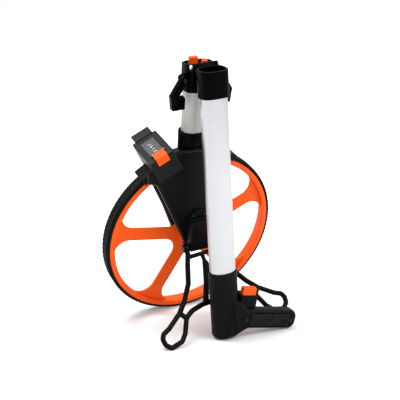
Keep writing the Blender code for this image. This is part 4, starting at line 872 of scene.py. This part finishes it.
def makeDrums():
    s = drumSizes
    figures = [figureMesh(digit, s) for digit in range(10)]
    for i in range(5):
        body = "drum_%d" % (i + 1)
        middle = s["pitch"] * (i - 2)
        high = s["pitch"] / 2 - common["gap"]
        low = -high
        profile = roundedPath([(s["radius"], high), (s["radius"], low), (s["bore"], low),
                               (s["bore"], high)], s["edge"], step=s["edgeTurn"])
        place = counterPlace @ shift(y=middle, z=-s["drop"])
        drum = settled(lathe(profile, 60), place)
        dressed(drum, "numberDrum%d" % (i + 1), body, "drum_plastic", "digit_drum_%d" % (i + 1))
        shape = bmesh.new()
        for digit in range(10):
            piece = figures[digit].copy()
            piece.transform(place @ turn("Y", (digit - s["shown"][i]) * 36.0))
            shape.from_mesh(piece)
            bpy.data.meshes.remove(piece)
        bmesh.ops.recalc_face_normals(shape, faces=shape.faces)
        marks = fromShape(shape, "drumFigures%d" % (i + 1))
        dressed(marks, "drumFigures%d" % (i + 1), body, "drum_plastic")
        marks.data.materials.clear()
        marks.data.materials.append(figureWhite)


def makeMask():  # the plate under the window, with an opening for each drum
    s = drumSizes
    left, right, near, far = s["mask"]
    outlines = [[(left, near), (right, near), (right, far), (left, far)]]
    across, along = s["slot"]
    for i in range(5):
        middle = s["pitch"] * (i - 2)
        outlines.append([(-across, middle - along), (across, middle - along),
                         (across, middle + along), (-across, middle + along)])
    mask = sheetPiece(outlines, -s["maskHalf"], s["maskHalf"], s["maskEdge"])
    settled(mask, turn("X", -90.0))
    settled(mask, shift(z=-s["maskDrop"]))
    dressed(settled(mask, counterPlace), "windowMask", "frame", "counter_plastic")
    mask.data.materials[0] = finishes["joint_plastic"]


makeDrums()
makeMask()
print("counter made")

# Grip: barrel and handle in one moulding, parted along the cover's edge
gripSizes = {"wide": 0.0238, "deepHalf": 0.0187, "top": -0.3385, "foot": -0.4607, "endRound": 0.0075,
             "topEdge": 0.0008, "power": 2.5, "tubeDepth": 0.034, "handleLength": 0.131,
             "handleHalf": 0.017, "depth": 0.012, "edgeRound": 0.0064, "cornerRound": 0.0135,
             "rootDrop": 0.0135, "rootShift": 0.021, "rootSlope": 0.004,
             "webFoot": 0.037, "webTop": 0.029, "webRise": 0.012, "webSlope": 0.003, "webShift": 0.010,
             "triggerAcross": (0.005, 0.048), "triggerDeep": (-0.0044, 0.03),
             "voxel": 0.0007, "passes": 12, "coverStart": 0.0225, "seam": 0.0006,
             "panelStart": 0.0355, "panelEnd": 0.1165, "panelHalf": 0.0124, "panelRound": 0.004,
             "panelSeat": 0.0008, "panelGap": 0.0004, "pocketEdge": 0.0003, "panelSunk": 0.0005,
             "panelProud": 0.0002, "panelEdge": 0.0002, "scale": (0.0030, 0.0022, 0.0012),
             "columns": 13, "rows": 5, "pitch": (0.0062, 0.0048),
             "heelAcross": 0.0183, "heelUp": 0.0055, "heelTilt": 45.0, "heelReach": 0.05,
             "line": 0.0006, "lineAcross": 0.0066, "lineUp": (0.010, 0.054), "lineDepth": 0.0016}


def panelOutline(s, grow):
    low, high, half = s["panelStart"] - grow, s["panelEnd"] + grow, s["panelHalf"] + grow
    return roundedPath([(low, half), (high, half), (high, -half), (low, -half)], s["panelRound"])


def makeGrip():
    s = gripSizes
    levels = [(s["top"], s["topEdge"]), (s["top"] - s["topEdge"], 0.0)]
    for k in range(9):
        a = math.radians(90.0 * k / 8)
        levels.append((s["foot"] + s["endRound"] * (1 - math.sin(a)), s["endRound"] * (1 - math.cos(a))))
    barrel = settled(ovalBar(s["wide"], s["deepHalf"], levels, tubeBack, s["power"]), upperPlace)
    half = s["handleHalf"]
    corners = [(s["handleLength"], half), (s["handleLength"], -half), (s["webFoot"], -half),
               (s["webFoot"] - s["rootShift"], -half - s["rootDrop"]),
               (0.0, -half - s["rootDrop"] - s["rootSlope"]),
               (0.0, half + s["webRise"] + s["webSlope"]),
               (s["webTop"] - s["webShift"], half + s["webRise"]), (s["webTop"], half)]
    handle = settled(slab(corners, s["cornerRound"], -s["depth"], s["depth"], s["edgeRound"], 8),
                     handlePlace)
    reach = s["heelReach"]  # the barrel's foot slopes towards the handle
    heel = settled(box(0.0, reach, -reach, reach, -reach, reach),
                   upperPlace @ shift(x=s["heelAcross"], z=s["foot"] + s["heelUp"])
                   @ turn("Y", s["heelTilt"]))
    barrel = combined(barrel, "DIFFERENCE", heel)
    grip = softened(combined(barrel, "UNION", handle), s["voxel"], s["passes"])
    # The trigger's space is cut out of the web, but not out of the barrel
    space = settled(box(*s["triggerAcross"], *s["triggerDeep"], half, half * 4), handlePlace)
    keep = ovalBar(s["wide"] + common["gap"], s["deepHalf"] + common["gap"],
                   [(s["foot"], 0.0), (s["top"] + s["heelReach"], 0.0)], tubeBack, s["power"])
    grip = combined(grip, "DIFFERENCE", combined(space, "DIFFERENCE", settled(keep, upperPlace)))
    front = tubeBack - s["deepHalf"]
    line = box(s["lineAcross"] - s["line"], s["lineAcross"] + s["line"],
               front - common["over"], front + s["lineDepth"],
               s["foot"] + s["lineUp"][0], s["foot"] + s["lineUp"][1])
    grip = combined(grip, "DIFFERENCE", settled(line, upperPlace))
    bore = settled(ovalBar(tubeSizes["wide"] + common["gap"], tubeSizes["deep"] + common["gap"],
                           [(s["top"] + common["over"], 0.0), (s["top"] - s["tubeDepth"], 0.0)], tubeBack),
                   upperPlace)
    grip = combined(grip, "DIFFERENCE", bore)
    copy = linked("gripCopy", grip.data.copy())
    reach = s["handleLength"] * 2
    region = box(s["coverStart"], reach, -s["depth"] * 3, 0.0, -reach, reach)
    cover = combined(copy, "INTERSECT", settled(region, handlePlace))
    wider = box(s["coverStart"] - s["seam"], reach, -s["depth"] * 3, s["seam"], -reach, reach)
    body = combined(grip, "DIFFERENCE", settled(wider, handlePlace))
    deep = s["depth"]
    for side, piece in ((-1, cover), (1, body)):
        low, high = sorted((side * (deep - s["panelSeat"]), side * deep * 1.5))
        pocket = sheetPiece([panelOutline(s, s["panelGap"])], low, high, s["pocketEdge"])
        piece = combined(piece, "DIFFERENCE", settled(pocket, handlePlace))
        name, node = (("gripCover", "grip_cover"), ("gripBody", "grip_body"))[side > 0]
        dressed(piece, name, "upper", "grip_plastic", node)


def makePanels():
    s = gripSizes
    deep = s["depth"]
    length = s["panelEnd"] - s["panelStart"]
    for side, name, node in ((-1, "gripPanelFront", "grip_panel_front"),
                             (1, "gripPanelRear", "grip_panel_rear")):
        low, high = sorted((side * (deep - s["panelSunk"]), side * (deep + s["panelProud"])))
        base = sheetPiece([panelOutline(s, 0.0)], low, high, s["panelEdge"])
        scale = diamond(*s["scale"])
        field = fromTree("gripScales", fieldTree, {
            "Block": scale, "Columns": s["columns"], "Rows": s["rows"], "Pitch X": s["pitch"][0],
            "Pitch Y": s["pitch"][1], "Finish": finishes["grip_rubber"]})
        bpy.data.objects.remove(scale)
        settled(field, shift(x=s["panelStart"] + length / 2, y=side * (deep + s["panelProud"]))
                @ turn("X", 90.0 if side < 0 else -90.0))
        dressed(settled(base, handlePlace), name, "upper", "grip_rubber", node, angle=25.0)
        base.data.materials[0] = panelGroove
        dressed(settled(field, handlePlace), name + "Scales", "upper", "grip_rubber", angle=25.0)


def diamond(halfLong, halfShort, height):  # a low four-sided scale with a flat top
    shape = bmesh.new()
    rings = []
    for share, level in ((1.0, -height * 0.3), (1.0, height * 0.15), (0.45, height)):
        rings.append([shape.verts.new((x * share, y * share, level)) for x, y in
                      ((halfLong, 0), (0, halfShort), (-halfLong, 0), (0, -halfShort))])
    for near, far in zip(rings, rings[1:]):
        for i in range(4):
            shape.faces.new((near[i], near[(i + 1) % 4], far[(i + 1) % 4], far[i]))
    shape.faces.new(rings[0][::-1])
    shape.faces.new(rings[-1])
    bmesh.ops.recalc_face_normals(shape, faces=shape.faces)
    return fromShape(shape, "scale")


makeGrip()
makePanels()
print("grip made")

# Stand: bent wire, welded where the bars meet
standSizes = {"bar": 0.0044, "half": 0.1225, "length": 0.153, "eye": 0.0075, "eyeWidth": 0.009,
              "eyeGap": 0.0015, "bracketHalf": 0.019, "hole": 0.0033, "bend": 0.012, "footBend": 0.0045,
              "voxel": 0.0007, "passes": 5, "strutShare": 1.06, "innerShare": 1.2,
              "archShare": 1.04, "crossShare": 0.88, "stemShare": 0.85, "floorCut": (1.0, 0.5)}
strutShares = [(0.275, 0.2), (0.36, 0.39), (0.505, 0.558), (0.64, 0.672)]
footShares = [(0.64, 0.672), (0.86, 0.793), (0.965, 0.83), (1.0, 0.88), (0.99, 0.945), (0.92, 1.0),
              (0.745, 0.97), (0.665, 0.9), (0.566, 0.745)]
innerShares = [(-0.008, 0.205), (0.084, 0.425), (0.215, 0.655)]
archShares = [(0.566, 0.745), (0.45, 0.687), (0.27, 0.658), (0.0, 0.655)]
crossShares = (0.225, 0.108)
stemFootShare = 0.235


def makeStand():
    s = standSizes
    bars = []

    def scaled(shares, side=1):
        return [(across * s["half"] * side, -along * s["length"]) for across, along in shares]

    eyeX = s["bracketHalf"] + s["eyeGap"] + s["eyeWidth"] / 2
    for side in (-1, 1):
        top = [(eyeX * side, 0.0), (eyeX * side, -s["eye"] - s["bar"] / 2)]
        strut = roundedPath(top + scaled(strutShares, side), s["bend"], closed=False)
        bars.append(wire(strut, s["bar"] * s["strutShare"]))
        bars.append(wire(roundedPath(scaled(footShares, side), s["footBend"]), s["bar"], closed=True))
        inner = roundedPath(scaled(innerShares, side), s["bend"], closed=False)
        bars.append(wire(inner, s["bar"] * s["innerShare"]))
        eye = rod(s["eye"], -s["eyeWidth"] / 2, s["eyeWidth"] / 2, "X")
        bars.append(settled(eye, shift(x=eyeX * side)))
    arch = scaled(archShares)
    arch += [(-x, z) for x, z in reversed(arch[:-1])]
    bars.append(wire(roundedPath(arch, s["bend"] * 2, closed=False), s["bar"] * s["archShare"]))
    bars.append(wire(scaled([crossShares, (-crossShares[0], crossShares[1])]),
                     s["bar"] * s["crossShare"]))
    bars.append(wire(scaled([(0.0, crossShares[1]), (0.0, stemFootShare)]), s["bar"] * s["stemShare"]))
    stand = combined(bars[0], "UNION", *bars[1:])
    stand = softened(stand, s["voxel"], s["passes"])
    stand = combined(stand, "DIFFERENCE", rod(s["hole"], -s["half"], s["half"], "X"))
    settled(stand, standPlace)
    reach, depth = s["floorCut"]
    stand = combined(stand, "DIFFERENCE", box(-reach, reach, -reach, reach, -depth, 0.0))
    dressed(stand, "kickStand", "stand", "stand_paint", "stand_frame")


makeStand()
print("stand made")

# Stage: a pale floor, a white surround and soft lamps
stageSizes = {"floor": 6.0, "floorColour": (0.84, 0.84, 0.84, 1.0), "lift": 0.08, "fadeFrom": 0.25,
              "fadeTo": 1.0, "aim": (0.0, 0.0, 0.2), "roomGlow": 0.72}


def seenRays(tree):  # 1 where the camera looks, straight or by a mirror or a pane, else 0
    path = addNode(tree, "ShaderNodeLightPath").outputs
    seen = addNode(tree, "ShaderNodeMath", {}, {0: path["Is Camera Ray"], 1: path["Is Glossy Ray"]},
                   operation="MAXIMUM")
    seenToo = addNode(tree, "ShaderNodeMath", {}, {0: seen.outputs[0], 1: path["Is Transmission Ray"]},
                      operation="MAXIMUM")
    return seenToo.outputs[0]


def makeStage():
    shape = bmesh.new()
    bmesh.ops.create_grid(shape, x_segments=1, y_segments=1, size=stageSizes["floor"])
    floor = fromShape(shape, "floor")
    material, tree, shader = newFinish("paleFloor")
    shader.inputs["Base Color"].default_value = stageSizes["floorColour"]
    shader.inputs["Roughness"].default_value = 0.9
    shader.inputs["Specular IOR Level"].default_value = 0.0
    seen = seenRays(tree)
    place = addNode(tree, "ShaderNodeTexCoord").outputs["Object"]
    away = addNode(tree, "ShaderNodeVectorMath", {}, {0: place}, operation="LENGTH")
    fade = mapped(tree, away.outputs["Value"], stageSizes["fadeFrom"], stageSizes["fadeTo"],
                  stageSizes["lift"], 1.0)  # white further out
    lift = addNode(tree, "ShaderNodeMath", {}, {0: seen, 1: fade}, operation="MULTIPLY")
    shader.inputs["Emission Color"].default_value = (1.0, 1.0, 1.0, 1.0)
    tree.links.new(lift.outputs[0], shader.inputs["Emission Strength"])
    floor.data.materials.append(material)

    world = bpy.data.worlds.new("plainWorld")
    bpy.context.scene.world = world
    world.use_nodes = True
    tree = world.node_tree
    background = tree.nodes["Background"]
    seen = seenRays(tree)
    strength = mapped(tree, seen, 0.0, 1.0, stageSizes["roomGlow"], 1.0)
    background.inputs["Color"].default_value = (1.0, 1.0, 1.0, 1.0)
    tree.links.new(strength, background.inputs["Strength"])


def addLamp(name, place, target, size, power):
    data = bpy.data.lights.new(name, "AREA")
    data.shape = "DISK"
    data.size = size
    data.energy = power
    lamp = linked(name, data)
    lamp.location = place
    aim = (Vector(target) - Vector(place)).to_track_quat("-Z", "Y")
    lamp.rotation_euler = aim.to_euler()
    return lamp


makeStage()
for name, place, size, power in (("keyLamp", (0.9, -1.6, 2.2), 1.6, 40.0),
                                 ("topLamp", (-0.6, 0.5, 2.4), 1.4, 46.0)):
    addLamp(name, place, stageSizes["aim"], size, power)

# Camera: fitted to the wheel's two ellipses and the fork in the photograph
cameraFit = {"place": (-0.6418, -1.225945, 0.6220), "target": (0.02373, 0.053155, 0.208565),
             "lens": 76.28, "sensor": 36.0}
cameraData = bpy.data.cameras.new("camera")
cameraData.lens = cameraFit["lens"]
cameraData.sensor_width = cameraFit["sensor"]
camera = linked("camera", cameraData)
camera.location = cameraFit["place"]
aim = Vector(cameraFit["target"]) - Vector(cameraFit["place"])
camera.rotation_euler = aim.to_track_quat("-Z", "Y").to_euler()
bpy.context.scene.camera = camera
bpy.context.scene.view_settings.view_transform = "Standard"
print("stage, lamps and camera set")
